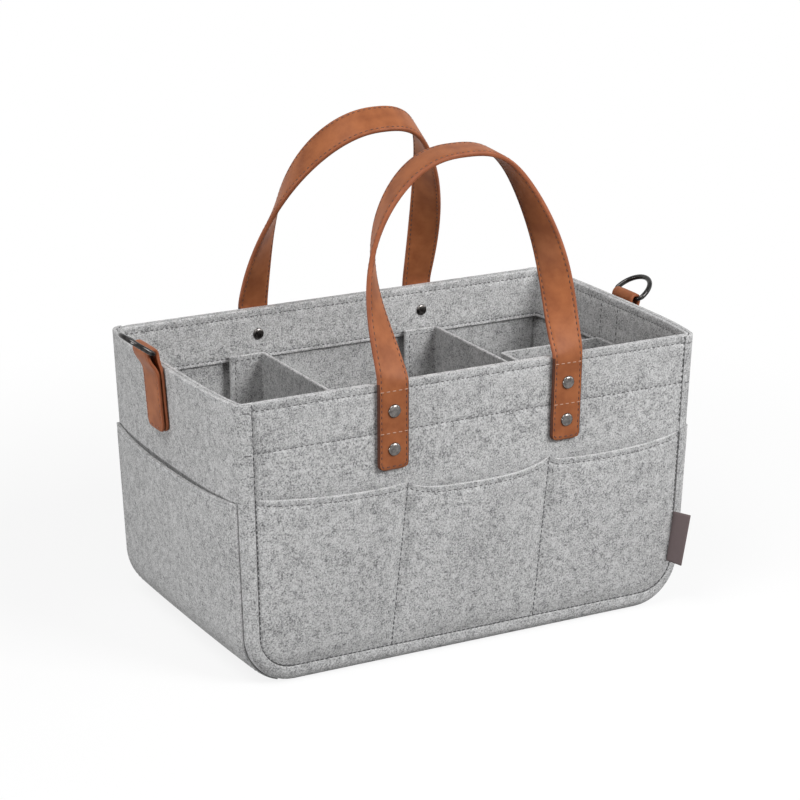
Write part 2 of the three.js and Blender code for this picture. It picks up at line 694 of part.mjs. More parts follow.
// D-ring of round wire, with its bar on the y axis and its bow toward +x.
function ring() {
  const sides = 8;
  const steps = 36;
  const half = RING_WIDTH / 2;
  const path = new THREE.Path();
  path.moveTo(0, RING_CORNER - half);
  path.lineTo(0, half - RING_CORNER);
  path.absarc(RING_CORNER, half - RING_CORNER, RING_CORNER, Math.PI, Math.PI / 2, true);
  path.absellipse(RING_CORNER, 0, RING_REACH - RING_CORNER, half, Math.PI / 2, -Math.PI / 2, true);
  path.absarc(RING_CORNER, RING_CORNER - half, RING_CORNER, -Math.PI / 2, -Math.PI, true);
  const line = path.getSpacedPoints(steps).slice(0, steps);
  const sections = line.map((point, i) => {
    const tangent = line[(i + 1) % steps].clone().sub(line[(i + steps - 1) % steps]).normalize();
    const section = [];
    for (let j = 0; j < sides; j++) {
      const angle = 2 * Math.PI * j / sides;
      const across = RING_WIRE / 2 * Math.cos(angle);
      const up = RING_WIRE / 2 * Math.sin(angle);
      section.push(new THREE.Vector3(point.x + tangent.y * across, point.y - tangent.x * across, up));
    }
    return section;
  });
  return loft(sections);
}

const ends = [
  { name: 'left', side: -1, place: LEFT_TAB_PLACE, barRise: LEFT_BAR_RISE, raise: LEFT_RING_RAISE },
  { name: 'right', side: 1, place: RIGHT_TAB_PLACE, barRise: RIGHT_BAR_RISE, raise: RIGHT_RING_RAISE },
];
for (const { name, side, place, barRise, raise } of ends) {
  add(`${name}_ring_tab`, tabGeometry(side, place, barRise), 'leather');
  const bar = new THREE.Vector3(side * (LENGTH / 2 + LOOP_CENTRE), place, HEIGHT + barRise);
  const ringMesh = add(`${name}_d_ring`, ring(), 'gunmetal');
  ringMesh.position.copy(bodyForm(bar));
  ringMesh.rotation.set(0, -raise, side > 0 ? 0 : Math.PI, 'ZYX');
}

// Side label: a folded woven flag that stands out of the right front seam

const flag = new THREE.BoxGeometry(LABEL_WIDTH, LABEL_THICKNESS, LABEL_HEIGHT);
flag.translate(LABEL_WIDTH / 2, 0, LABEL_LOW + LABEL_HEIGHT / 2).rotateZ(LABEL_ANGLE);
flag.translate(LENGTH / 2 - LIP, -DEPTH / 2 - FIT - LABEL_THICKNESS / 2, 0);
add('side_label', formed(flag, bodyForm), 'label');

export default group;
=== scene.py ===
"""Grey felt diaper caddy with leather carrying handles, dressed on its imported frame."""
import math

import bmesh
import bpy
from mathutils import Matrix, Vector, noise


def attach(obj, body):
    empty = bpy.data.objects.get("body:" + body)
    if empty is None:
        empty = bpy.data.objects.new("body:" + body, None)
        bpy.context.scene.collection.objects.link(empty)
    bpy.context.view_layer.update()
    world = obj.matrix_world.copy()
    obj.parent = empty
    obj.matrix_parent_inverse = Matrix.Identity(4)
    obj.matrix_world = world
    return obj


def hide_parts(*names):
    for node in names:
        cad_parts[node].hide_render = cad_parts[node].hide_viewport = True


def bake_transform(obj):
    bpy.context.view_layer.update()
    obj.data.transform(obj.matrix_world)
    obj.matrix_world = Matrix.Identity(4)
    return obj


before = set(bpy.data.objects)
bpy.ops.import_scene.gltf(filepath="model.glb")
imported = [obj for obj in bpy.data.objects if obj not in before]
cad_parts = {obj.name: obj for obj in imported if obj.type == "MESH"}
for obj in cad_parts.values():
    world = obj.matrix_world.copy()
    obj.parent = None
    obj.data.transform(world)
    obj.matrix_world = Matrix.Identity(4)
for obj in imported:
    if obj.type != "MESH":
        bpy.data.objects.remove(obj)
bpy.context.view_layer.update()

# Gusset band
# One strip of 3 mm wool felt makes the left end, the base and the right end of the body. It turns two wide
# corners at the base, and its long edges are turned in toward the front and the back and sewn there.
MM = 0.001
LENGTH, DEPTH, HEIGHT = 380.0, 232.0, 216.0
FELT, CUT_EDGE, GAP = 3.0, 1.0, 0.3
END_TAPER, SIDE_TAPER = 6.0, 4.0
END_BOW, END_FULLNESS = 8.0, 4
BASE_RADIUS, CORNER_RADIUS = 38.0, 8.0
LIP, BASE_LIP = 9.0, 12.5
RIM_STITCHES = HEIGHT - 5.5, HEIGHT - 37.0
BESIDE_STITCH = (-3.2, -1.6, -0.8, 0.0, 0.8, 1.6, 3.2)
WALL_ROWS = sorted(
    [HEIGHT, HEIGHT - 15, HEIGHT - 21, HEIGHT - 27]
    + [stitch + step for stitch in RIM_STITCHES for step in BESIDE_STITCH]
    + [HEIGHT - 48 - 10 * step for step in range(13)]
    + [BASE_RADIUS],
    reverse=True,
)


class Shade:
    """One socket of a finish. Arithmetic on it adds Math nodes to the finish's tree."""

    def __init__(self, tree, socket):
        self.tree = tree
        self.socket = socket

    def node(self, kind, settings, inputs, output=0):
        made = self.tree.nodes.new(kind)
        for name, value in settings.items():
            setattr(made, name, value)
        for key, value in inputs.items():
            if isinstance(value, Shade):
                self.tree.links.new(value.socket, made.inputs[key])
            else:
                made.inputs[key].default_value = value
        return Shade(self.tree, made.outputs[output])

    def math(self, operation, first, second):
        return self.node("ShaderNodeMath", {"operation": operation}, {0: first, 1: second})

    def __add__(self, other):
        return self.math("ADD", self, other)

    __radd__ = __add__

    def __sub__(self, other):
        return self.math("SUBTRACT", self, other)

    def __mul__(self, other):
        return self.math("MULTIPLY", self, other)

    __rmul__ = __mul__

    def stretched(self, x, y, z):
        return self.node("ShaderNodeVectorMath", {"operation": "MULTIPLY"}, {0: self, 1: (x, y, z)})

    def noise(self, scale, detail, roughness):
        sockets = {"Vector": self, "Scale": scale, "Detail": detail, "Roughness": roughness}
        return self.node("ShaderNodeTexNoise", {}, sockets)

    def between(self, low, high):
        sockets = {"Value": self, "From Min": low, "From Max": high}
        return self.node("ShaderNodeMapRange", {"interpolation_type": "SMOOTHSTEP"}, sockets)

    def mixed(self, first, second):
        return self.node("ShaderNodeMix", {"data_type": "RGBA"}, {0: self, 6: first, 7: second}, 2)

    def bumped(self, surface, strength, distance):
        sockets = {"Height": self, "Strength": strength, "Distance": distance * MM}
        self.node("ShaderNodeBump", {}, sockets).feed(surface, "Normal")

    def feed(self, surface, socket):
        self.tree.links.new(self.socket, surface.inputs[socket])


def new_finish(name, coordinates, **fixed):
    finish = bpy.data.materials.new(name)
    finish.use_nodes = True
    tree = finish.node_tree
    surface = tree.nodes["Principled BSDF"]
    for socket, value in fixed.items():
        surface.inputs[socket.replace("_", " ")].default_value = value
    place = tree.nodes.new("ShaderNodeTexCoord")
    return finish, Shade(tree, place.outputs[coordinates]), surface


def felt_finish(name, dark, light):
    finish, place, surface = new_finish(
        name, "Object", Roughness=0.95, Sheen_Weight=0.15, Sheen_Roughness=0.6, Specular_IOR_Level=0.2
    )
    flecks = place.noise(800, 4, 0.75)
    hairs = place.stretched(1.0, 1.0, 0.3).noise(950, 2, 0.6)
    cross_hairs = place.stretched(0.35, 0.6, 1.0).noise(800, 2, 0.6)
    mottle = place.noise(170, 2, 0.5)
    clouds = place.noise(38, 3, 0.6)
    dark_hairs = hairs.between(0.56, 0.72) + cross_hairs.between(0.56, 0.74)
    tone = 0.68 + 3.7 * (flecks - 0.5) + 0.9 * (mottle - 0.5) + 0.3 * (clouds - 0.5) - 0.4 * dark_hairs
    tone.mixed(dark, light).feed(surface, "Base Color")
    (flecks + hairs * 0.6).bumped(surface, 0.5, 0.7)
    return finish


wall_felt = felt_finish("grey_felt", (0.13, 0.13, 0.133, 1), (0.60, 0.60, 0.60, 1))
# The cut edges wear a slightly lighter copy of the felt: painted highlight, the light line that a felt edge
# catches.
painted_highlight_edge_felt = felt_finish("edge_felt_painted_highlight", (0.2, 0.2, 0.202, 1), (0.64, 0.64, 0.64, 1))


def tapered(y, z):
    """The front and the back draw in toward the base."""
    return y - 2 * y / DEPTH * SIDE_TAPER * (1 - z / HEIGHT)


def body_form(point):
    """A point of the square box, set in the bowed and tapered body."""
    x, y, z = point
    along, share = 2 * x / LENGTH, z / HEIGHT
    across = max(0.0, 1 - (2 * y / DEPTH) ** END_FULLNESS)
    x += along**3 * END_BOW * share * across - along * END_TAPER * (1 - share)
    return Vector((x, tapered(y, z), z))


def make_piece(name, points, faces, *finishes):
    mesh = bpy.data.meshes.new(name)
    mesh.from_pydata([Vector(point) * MM for point in points], [], faces)
    work = bmesh.new()
    work.from_mesh(mesh)
    bmesh.ops.recalc_face_normals(work, faces=work.faces)
    work.to_mesh(mesh)
    work.free()
    for finish in finishes:
        mesh.materials.append(finish)
    mesh.polygons.foreach_set("use_smooth", [True] * len(mesh.polygons))
    piece = bpy.data.objects.new(name, mesh)
    bpy.context.scene.collection.objects.link(piece)
    return piece


def layers_of(columns, rows, place, ring=False):
    """A sheet with thickness, where place(i, j, layer) gives a point of its outer or its inner face."""
    points = [place(i, j, layer) for layer in (0, 1) for j in range(rows) for i in range(columns)]

    def at(i, j, layer):
        return (layer * rows + j) * columns + i % columns

    faces = []
    spans = columns if ring else columns - 1
    for i in range(spans):
        for j in range(rows - 1):
            faces.append((at(i, j, 0), at(i + 1, j, 0), at(i + 1, j + 1, 0), at(i, j + 1, 0)))
            faces.append((at(i, j + 1, 1), at(i + 1, j + 1, 1), at(i + 1, j, 1), at(i, j, 1)))
        for j in (0, rows - 1):
            faces.append((at(i, j, 0), at(i + 1, j, 0), at(i + 1, j, 1), at(i, j, 1)))
    for i in () if ring else (0, columns - 1):
        for j in range(rows - 1):
            faces.append((at(i, j, 0), at(i, j, 1), at(i, j + 1, 1), at(i, j + 1, 0)))
    return points, faces


def felt_piece(name, columns, rows, place, finish, ring=False):
    # The side faces of every felt piece take the lighter edge felt, a painted highlight.
    piece = make_piece(name, *layers_of(columns, rows, place, ring), finish, painted_highlight_edge_felt)
    for polygon in piece.data.polygons:
        polygon.material_index = len({corner < columns * rows for corner in polygon.vertices}) - 1
    edge = piece.modifiers.new("cut_edge", "BEVEL")
    edge.width = CUT_EDGE * MM
    edge.segments = 3
    edge.limit_method = "ANGLE"
    edge.angle_limit = math.radians(50)
    return piece


def band_point(side, angle, height, depth, y):
    """A point of an end or, with an angle, of the base corner, at a depth behind the face."""
    radius = BASE_RADIUS - depth
    x = side * (LENGTH / 2 - BASE_RADIUS + radius * math.cos(angle))
    return Vector((x, y, height - radius * math.sin(angle)))


def band_profile(offset):
    """(depth, y) from turned edge to turned edge, on a face at an offset."""
    half, radius = DEPTH / 2, CORNER_RADIUS - offset
    near = [(LIP - GAP, offset - half)]
    for step in range(9):
        angle = step / 8 * math.pi / 2
        y = CORNER_RADIUS - half - radius * math.cos(angle)
        near.append((CORNER_RADIUS - radius * math.sin(angle), y))
    web = [(offset, (half - CORNER_RADIUS) * (step / 12 - 1)) for step in range(1, 24)]
    return near + web + [(depth, -y) for depth, y in reversed(near)]


end_stations = [(0.0, z) for z in WALL_ROWS]
end_stations += [(math.radians(7.5 * step), BASE_RADIUS) for step in range(1, 13)]
band_stations = [(-1.0, *station) for station in end_stations]
band_stations += [(step / 10 - 1, math.pi / 2, BASE_RADIUS) for step in range(1, 20)]
band_stations += [(1.0, *station) for station in reversed(end_stations)]
band_faces = band_profile(0.0), band_profile(FELT)


def band_place(i, j, layer):
    side, angle, height = band_stations[j]
    depth, y = band_faces[layer][i]
    if i in (0, len(band_faces[0]) - 1):
        depth += (BASE_LIP - LIP) * angle / (math.pi / 2)
    return body_form(band_point(side, angle, height, depth, y))


band = felt_piece("gusset_band_felt", len(band_faces[0]), len(band_stations), band_place, wall_felt)
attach(band, "body")
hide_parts("gusset_band", "front_seam_edge", "back_seam_edge")


def thread_finish(name, colour):
    finish, place, surface = new_finish(name, "Object", Roughness=0.7, Sheen_Weight=0.2)
    shadow = [0.7 * part for part in colour[:3]] + [1]
    plies = place.noise(2600, 2, 0.5)
    plies.between(0.3, 0.7).mixed(shadow, colour).feed(surface, "Base Color")
    plies.bumped(surface, 0.4, 0.2)
    return finish


grey_thread = thread_finish("grey_thread", (0.085, 0.085, 0.088, 1))


def lengths_along(points):
    """Distance along a line to each of its points."""
    reach = [0.0]
    for here, after in zip(points, points[1:]):
        reach.append(reach[-1] + (after - here).length)
    return reach


def tube_faces(first, rings, sides, closed=False):
    """Faces between rings of points from index first on, and two ends unless it is closed."""
    faces = []
    for ring in range(rings if closed else rings - 1):
        low, high = first + ring * sides, first + (ring + 1) % rings * sides
        for turn in range(sides):
            beside = (turn + 1) % sides
            faces.append((low + turn, low + beside, high + beside, high + turn))
    if not closed:
        last = first + (rings - 1) * sides
        faces += [tuple(range(first, first + sides)), tuple(range(last, last + sides))]
    return faces


def sew(name, runs, thread, body="body", long=2.8, gap=1.4, thick=0.8):
    """A bead of thread for each stitch along runs of points with their outward normals."""
    points, faces = [], []
    sides = 6
    shape = ((0.0, 0.4, -0.75), (0.25, 1.0, 0.1), (0.75, 1.0, 0.1), (1.0, 0.4, -0.75))
    for run in runs:
        reach = lengths_along([point for point, _ in run])
        count = int((reach[-1] + gap) // (long + gap))
        if count == 0:
            continue
        pitch = (reach[-1] + gap) / count
        k = 0
        for stitch in range(count):
            first = len(points)
            for share, girth, lift in shape:
                target = stitch * pitch + share * (pitch - gap)
                while k < len(run) - 2 and reach[k + 1] < target:
                    k += 1
                while k > 0 and reach[k] > target:
                    k -= 1
                (here, normal), (after, next_normal) = run[k], run[k + 1]
                t = (target - reach[k]) / max(reach[k + 1] - reach[k], 1e-6)
                out = normal.lerp(next_normal, t).normalized()
                side = (after - here).cross(out).normalized()
                middle = here.lerp(after, t) + out * lift * thick / 2
                for turn in range(sides):
                    angle = 2 * math.pi * turn / sides
                    arm = side * math.cos(angle) + out * math.sin(angle)
                    points.append(middle + arm * girth * thick / 2)
            faces += tube_faces(first, len(shape), sides)
    piece = make_piece(name, points, faces, thread)
    if body:
        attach(piece, body)
    return piece


def on_face(place, spots, layer=0):
    """A run of stitching over the outer or inner face of a sheet, through the given grid spots."""
    run = []
    for i, j in spots:
        face, behind = place(i, j, layer), place(i, j, 1 - layer)
        run.append((face, (face - behind).normalized()))
    return run


hem_rows = [j for j, (_, angle, z) in enumerate(band_stations) if angle == 0 and z in RIM_STITCHES]
last_column = len(band_faces[0]) - 1
turned_edges = range(1, 6), range(last_column - 5, last_column)
runs = [on_face(band_place, [(i, j) for i in edge]) for j in hem_rows for edge in turned_edges]
sew("gusset_band_thread", runs, grey_thread)

# Front and back panels
# Two flat felt panels with round lower corners close the sides. Each lies two millimetres behind the band's
# turned edge, and its pressed side edges run on under it, sewn through the groove between them.
PANEL_FACE = DEPTH / 2 - 2.0
PANEL_HALF = LENGTH / 2 - LIP - GAP
PANEL_LOW = BASE_LIP + GAP
PANEL_RADIUS = BASE_RADIUS - LIP - GAP
PANEL_SHOULDER, PANEL_UNDER = 48.0, 2.6
STITCH_DENT, DENT_REACH = 0.6, 1.2
LEFT_SINK, RIGHT_SINK, UNDER_SINK, SINK_REACH = 1.8, -0.9, 2.0, 1.8
WALLS = ((-1, "front"), (1, "back"))
straight = PANEL_HALF - PANEL_RADIUS
corner_columns = [straight + PANEL_RADIUS * math.sin(step / 10 * math.pi / 2) for step in range(1, 11)]
corner_columns.append(PANEL_HALF + PANEL_UNDER)
panel_columns = [-x for x in reversed(corner_columns)]
panel_columns += [straight * (step / 20 - 1) for step in range(41)] + corner_columns
panel_rows = [z for z in WALL_ROWS if z >= PANEL_SHOULDER] + [41.0, 34.0, 27.0, 20.0, 14.0, PANEL_LOW]


def panel_foot(x):
    """Height of the panel's lower edge, which turns up at the two corners."""
    past = max(0.0, abs(x) - straight) / PANEL_RADIUS
    return BASE_RADIUS - (BASE_RADIUS - PANEL_LOW) * math.sqrt(max(0.0, 1 - past**2))


def bell(distance, reach):
    """1 at a line of stitching, falling off softly on both sides of it."""
    return math.exp(-((distance / reach) ** 2))


def stitch_dent(z):
    """Depth to which the two rows of stitching under the rim pull the felt in."""
    return sum(STITCH_DENT * bell(z - stitch, DENT_REACH) for stitch in RIM_STITCHES)


def panel_place(wall):
    def place(i, j, layer):
        x, z = panel_columns[i], panel_rows[j]
        if z < PANEL_SHOULDER:
            foot = panel_foot(x)
            z = foot + (z - PANEL_LOW) * (PANEL_SHOULDER - foot) / (PANEL_SHOULDER - PANEL_LOW)
        inset = PANEL_HALF - abs(x)
        sink = LEFT_SINK if x < 0 else RIGHT_SINK
        tucked = sink * bell(inset, SINK_REACH) if inset > -1 else UNDER_SINK
        depth = PANEL_FACE - (FELT if layer else stitch_dent(z) + tucked)
        return body_form((x, wall * depth, z))

    return place


for wall, name in WALLS:
    place = panel_place(wall)
    panel = felt_piece(f"{name}_panel_felt", len(panel_columns), len(panel_rows), place, wall_felt)
    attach(panel, "body")
    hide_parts(f"{name}_panel")
    rows = [j for j, z in enumerate(panel_rows) if z in RIM_STITCHES]
    runs = [on_face(place, [(i, j) for i in range(2, len(panel_columns) - 2)]) for j in rows]
    above = [j for j, z in enumerate(panel_rows) if z > HEIGHT - 70]
    runs += [on_face(place, [(i, j) for j in above]) for i in (3, len(panel_columns) - 3)]
    sew(f"{name}_panel_thread", runs, grey_thread)

# Facing
# A 40 mm band of the same felt lines the rim all the way round. The two rows of stitching that show outside
# hold it, and its cut lower edge stands out as a step inside.
FACING_HEIGHT = 40.0
facing_drops = [0, 2.6, 4.2, 5.5, 6.8, 9, 15, 21, 27, 32, 35, 36.2, 37, 37.8, FACING_HEIGHT]
facing_rows = [HEIGHT - drop for drop in facing_drops]
facing_radius = CORNER_RADIUS - FELT - GAP
half_x = LENGTH / 2 - FELT - GAP - facing_radius
half_y = PANEL_FACE - FELT - GAP - facing_radius
facing_corners = (half_x, half_y), (-half_x, half_y), (-half_x, -half_y), (half_x, -half_y)
facing_spots = []
for quarter, (x, y) in enumerate(facing_corners):
    for step in range(9):
        facing_spots.append((x, y, (quarter + step / 8) * math.pi / 2))
    turned = (quarter + 1) * math.pi / 2
    for step in range(1, 24):
        share = 1 - step / 12
        facing_spots.append((x * share, y, turned) if quarter % 2 == 0 else (x, y * share, turned))
# The facing's felt is drawn lighter than the wall felt: painted light on this band inside the rim.
facing_painted_light_finish = felt_finish("facing_painted_light_felt", (0.15, 0.15, 0.152, 1), (0.66, 0.66, 0.66, 1))


def facing_place(i, j, layer):
    x, y, angle = facing_spots[i]
    z = facing_rows[j]
    reach = facing_radius - (FELT - stitch_dent(z) if layer else 0.0)
    return body_form((x + reach * math.cos(angle), y + reach * math.sin(angle), z))


facing_grid = len(facing_spots), len(facing_rows)
facing = felt_piece("facing_painted_light_felt", *facing_grid, facing_place, facing_painted_light_finish, ring=True)
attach(facing, "body")
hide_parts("facing")
rows = [j for j, z in enumerate(facing_rows) if z in RIM_STITCHES]
around = list(range(len(facing_spots))) + [0]
runs = [on_face(facing_place, [(i, j) for i in around], 1) for j in rows]
sew("facing_thread", runs, grey_thread)

# Front and back pockets
# One felt panel on each side, caught in the groove seam at its edges and sewn down along two slanting seams.
# The three bays stand a little off the wall, and each mouth sags between its seams under a row of stitching.
POCKET_GAPE, POCKET_HEIGHT = 7.0, 127.0
POCKET_BAYS = ((70.0, 77.5, 1.5, 0.34), (77.5, 77.0, 6.0, 0.45), (77.0, 75.0, 3.0, 0.3))
POCKET_SEAMS = ((-57.0, -71.0), (64.0, 54.0))
MOUTH_STITCH, MOUTH_DENT, MOUTH_REACH = 4.0, 0.8, 1.3
LEFT_TURN, RIGHT_TURN = 0.262, 0.2265
PRESSED, PRESS_REACH = 0.3, 9.0
WAVE = 46.0
corner_shares = [1 - math.sin(step / 9 * math.pi / 2) for step in range(9, 0, -1)]
pocket_columns = [(0, LEFT_TURN * share) for share in corner_shares]
pocket_columns += [(0, LEFT_TURN + (1 - LEFT_TURN) * step / 15) for step in range(15)]
pocket_columns += [(1, step / 24) for step in range(24)]
pocket_columns += [(2, (1 - RIGHT_TURN) * step / 15) for step in range(15)]
pocket_columns += [(2, 1 - RIGHT_TURN * share) for share in reversed(corner_shares)]
pocket_shares = [0, 0.02, 0.05] + [0.1 + 0.06 * step for step in range(14)]
pocket_shares += [0.91, 0.94, 0.955, 0.9685, 0.982, 1]
mouth_row = pocket_shares.index(0.9685)


def wavy(x, y, z):
    """Slow unevenness of soft felt, from -1 to 1."""
    return noise.noise(Vector((x, y, z)) / WAVE)


def eased(t):
    t = min(1.0, max(0.0, t))
    return t * t * (3 - 2 * t)


def pressed(distance):
    """Share of the felt's thickness left near a seam that presses it flat."""
    return PRESSED + (1 - PRESSED) * eased(distance / PRESS_REACH)


def pocket_spot(bay, t, share):
    """Where a spot of a bay lies on the wall, and its distance from the nearest seam."""
    seams = [base + (mouth - base) * share for mouth, base in POCKET_SEAMS]
    bounds = [-PANEL_HALF, *seams, PANEL_HALF]
    width = bounds[bay + 1] - bounds[bay]
    x = bounds[bay] + width * t
    start, end, sag, lowest = POCKET_BAYS[bay]
    lean = t ** (math.log(0.5) / math.log(lowest)) if 0 < t < 1 else t
    top = HEIGHT - start - (end - start) * t - sag * (1 - (2 * lean - 1) ** 4)
    foot = panel_foot(x)
    z = foot + (top - foot) * share
    edge = min(width * t, width * (1 - t), (top - foot) * share)
    return x, z, edge


def pocket_place(wall):
    def place(i, j, layer):
        bay, t = pocket_columns[i]
        share = pocket_shares[j]
        x, z, edge = pocket_spot(bay, t, share)
        swell = 4 * t * (1 - t)
        stand = GAP + POCKET_GAPE * swell * share * (2 - share) * (1 + 0.16 * wavy(x, wall * 40, z))
        hem = MOUTH_DENT * bell((1 - share) * POCKET_HEIGHT - MOUTH_STITCH, MOUTH_REACH)
        thick = FELT * pressed(edge)
        y = PANEL_FACE + stand + (0.0 if layer else thick - hem)
        return body_form((-wall * x, wall * y, z))

    return place


for wall, name in WALLS:
    place = pocket_place(wall)
    pocket = felt_piece(f"{name}_pocket_felt", len(pocket_columns), len(pocket_shares), place, wall_felt)
    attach(pocket, "body")
    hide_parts(f"{name}_pocket")
    runs = [on_face(place, [(i, mouth_row) for i in range(1, len(pocket_columns) - 1)])]
    sew(f"{name}_pocket_thread", runs, grey_thread)
    up = range(len(pocket_shares))
    seams = pocket_columns.index((1, 0.0)), pocket_columns.index((2, 0.0))
    runs = [on_face(place, [(i, j) for j in up]) for i in (1, *seams, len(pocket_columns) - 2)]
    runs.append(on_face(place, [(i, 0) for i in range(1, len(pocket_columns) - 1)]))
    sew(f"{name}_pocket_seam_thread", runs, grey_thread, long=3.2, gap=0.6, thick=1.0)

# End pockets
# Each end has one wide pocket of the same felt. It runs round the base corner and under the base, where it is
# caught, and its cut side edges are sewn to the band beside the turned edge.
END_POCKET_TOP, END_POCKET_SAG = HEIGHT - 74.0, 3.0
END_GAPES = {-1: 3.0, 1: POCKET_GAPE}
END_TUCK = math.radians(72)
END_POCKET_HALF = DEPTH / 2 - CORNER_RADIUS
END_DENT, SIDE_STITCH, SIDE_REACH = 0.3, 3.5, 1.6
ENDS = ((-1, "left"), (1, "right"))
end_columns = 41
end_turns = [END_TUCK * (1 - step / 12) for step in range(12)]
end_shares = [step / 18 for step in range(17)] + [0.93, 0.945, 0.961, 0.977, 1.0]
end_rows = len(end_turns) + len(end_shares)
end_mouth_row = len(end_turns) + end_shares.index(0.961)


def end_pocket_place(side):
    def place(i, j, layer):
        across = 2 * i / (end_columns - 1) - 1
        swell = 1 - across**2
        up = j / (end_rows - 1)
        top = END_POCKET_TOP - END_POCKET_SAG * swell
        if j < len(end_turns):
            angle, height = end_turns[j], BASE_RADIUS
        else:
            angle, height = 0.0, BASE_RADIUS + (top - BASE_RADIUS) * end_shares[j - len(end_turns)]
        y = END_POCKET_HALF * across
        stand = GAP + END_GAPES[side] * swell * up * (2 - up) * (1 + 0.12 * wavy(side * 60, y, height))
        beside = END_POCKET_HALF * (1 - abs(across))
        sewn = END_DENT * bell(beside - SIDE_STITCH, SIDE_REACH)
        hem = END_DENT * bell(top - height - MOUTH_STITCH, MOUTH_REACH) if angle == 0 else 0.0
        pressed_foot = 0.35 + 0.65 * min(1.0, j / len(end_turns))
        pressed_side = 0.8 + 0.2 * min(1.0, beside / PRESS_REACH)
        thick = 0.0 if layer else FELT * pressed_foot * pressed_side - hem - sewn
        return body_form(band_point(side, angle, height, -stand - thick, y))

    return place


felt_thread = thread_finish("felt_thread", (0.3, 0.3, 0.303, 1))
for side, name in ENDS:
    place = end_pocket_place(side)
    pocket = felt_piece(f"{name}_pocket_felt", end_columns, end_rows, place, wall_felt)
    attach(pocket, "body")
    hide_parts(f"{name}_pocket")
    runs = [on_face(place, [(i, end_mouth_row) for i in range(1, end_columns - 1)])]
    runs += [on_face(place, [(i, j) for j in range(end_rows)]) for i in (1, end_columns - 2)]
    sew(f"{name}_pocket_thread", runs, felt_thread, thick=0.6)

# Dividers
# Loose felt panels with both ends folded the same way into tabs, which carry the hook tape. A row of
# stitching runs along the top and the free edge of each tab. The cross divider is shaped to the base corner.
DIVIDER_TOP = HEIGHT - 34.0
DIVIDER_LOW = FELT + GAP
DIVIDER_TAB, DIVIDER_FOLD = 29.0, 4.0
TAB_STANDOFF = FELT + 1.6 + 4 * GAP
TAB_DENT, STITCH_COLUMN, TAB_COLUMNS = 0.4, 3, 9
# The dividers' felt is drawn darker than the wall felt: painted shade, for the shade inside the caddy.
divider_felt = felt_finish("divider_felt", (0.12, 0.12, 0.123, 1), (0.55, 0.55, 0.55, 1))
divider_levels = [0.0, 0.012] + [0.05 * step for step in range(1, 19)]
divider_levels += [0.93, 0.955, 0.966, 0.9775, 0.989, 1.0]
top_row = divider_levels.index(0.9775)


def divider_line(half):
    """Plan of a divider's middle surface: points and normals from one tab's edge to the other's."""
    middle = DIVIDER_FOLD - FELT / 2
    turn = FELT / 2 - DIVIDER_FOLD
    shares = (0.0, 0.06, 0.11, 0.16, 0.22, 0.4, 0.6, 0.8)
    tab = [(-DIVIDER_TAB + (turn + DIVIDER_TAB) * share, FELT / 2 - half, 0.0, -1.0) for share in shares]
    fold = []
    for step in range(9):
        angle = -math.pi / 2 + step / 8 * math.pi / 2
        out_x, out_y = math.cos(angle), math.sin(angle)
        fold.append((turn + middle * out_x, DIVIDER_FOLD - half + middle * out_y, out_x, out_y))
    panel = [(0.0, (half - DIVIDER_FOLD) * (step / 8 - 1), 1.0, 0.0) for step in range(1, 16)]
    near = tab + fold
    return near + panel + [(x, -y, out_x, -out_y) for x, y, out_x, out_y in reversed(near)]


def divider_piece(name, half, settle, foot_of):
    """A divider with its thread, set in place by settle(spot, z) and cut off below at foot_of(x)."""
    line = divider_line(half)

    def place(i, j, layer):
        x, y, out_x, out_y = line[i]
        share = divider_levels[j]
        beside = min(i, len(line) - 1 - i)
        sewn = j == top_row or (beside == STITCH_COLUMN and share > 0.2)
        reach = FELT / 2 - (TAB_DENT if sewn and beside < TAB_COLUMNS else 0.0)
        spot = Vector((x, y)) + Vector((out_x, out_y)) * (-reach if layer else reach)
        foot = foot_of(settle(spot, 0.0).x)
        return settle(spot, foot + (DIVIDER_TOP - foot) * share)

    piece = felt_piece(f"{name}_felt", len(line), len(divider_levels), place, divider_felt)
    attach(piece, name)
    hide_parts(name)
    last = len(line) - 1
    tab = range(STITCH_COLUMN, TAB_COLUMNS)
    runs = []
    for layer in (0, 1):
        for ends in (tab, [last - i for i in reversed(tab)]):
            runs.append(on_face(place, [(i, top_row) for i in ends], layer))
        for i in (tab[0], last - tab[0]):
            runs.append(on_face(place, [(i, j) for j in range(1, top_row + 1)], layer))
    sew(f"{name}_thread", runs, grey_thread, name)
    return piece


def side_settle(middle_x):
    def settle(spot, z):
        return Vector((spot.x + middle_x, tapered(spot.y, z), z))

    return settle


RIGHT_DIVIDER_X, CROSS_DIVIDER_Y = 87.0, 12.0
MAIN_DIVIDERS = (("left_divider", -68.0), ("right_divider", RIGHT_DIVIDER_X))
divider_half = PANEL_FACE - FELT - TAB_STANDOFF
for name, middle_x in MAIN_DIVIDERS:
    piece = divider_piece(name, divider_half, side_settle(middle_x), lambda x: DIVIDER_LOW)

END_BACK = LENGTH / 2 - FELT
cross_left = RIGHT_DIVIDER_X + FELT / 2 + TAB_STANDOFF
cross_right = END_BACK - TAB_STANDOFF


def cross_lean(x, z):
    """The cross divider leans with the end wall on its right."""
    wall = body_form((END_BACK, 0.0, z)).x - END_BACK
    return x + wall * max(0.0, (x - cross_left) / (cross_right - cross_left))


def cross_settle(spot, z):
    x = (cross_left + cross_right) / 2 - spot.y
    return Vector((cross_lean(x, z), CROSS_DIVIDER_Y + spot.x, z))


def cross_foot(x):
    past = max(0.0, x + END_TAPER - (LENGTH / 2 - BASE_RADIUS))
    return BASE_RADIUS - math.sqrt(max(0.0, (BASE_RADIUS - DIVIDER_LOW) ** 2 - past**2))


piece = divider_piece("cross_divider", (cross_right - cross_left) / 2, cross_settle, cross_foot)

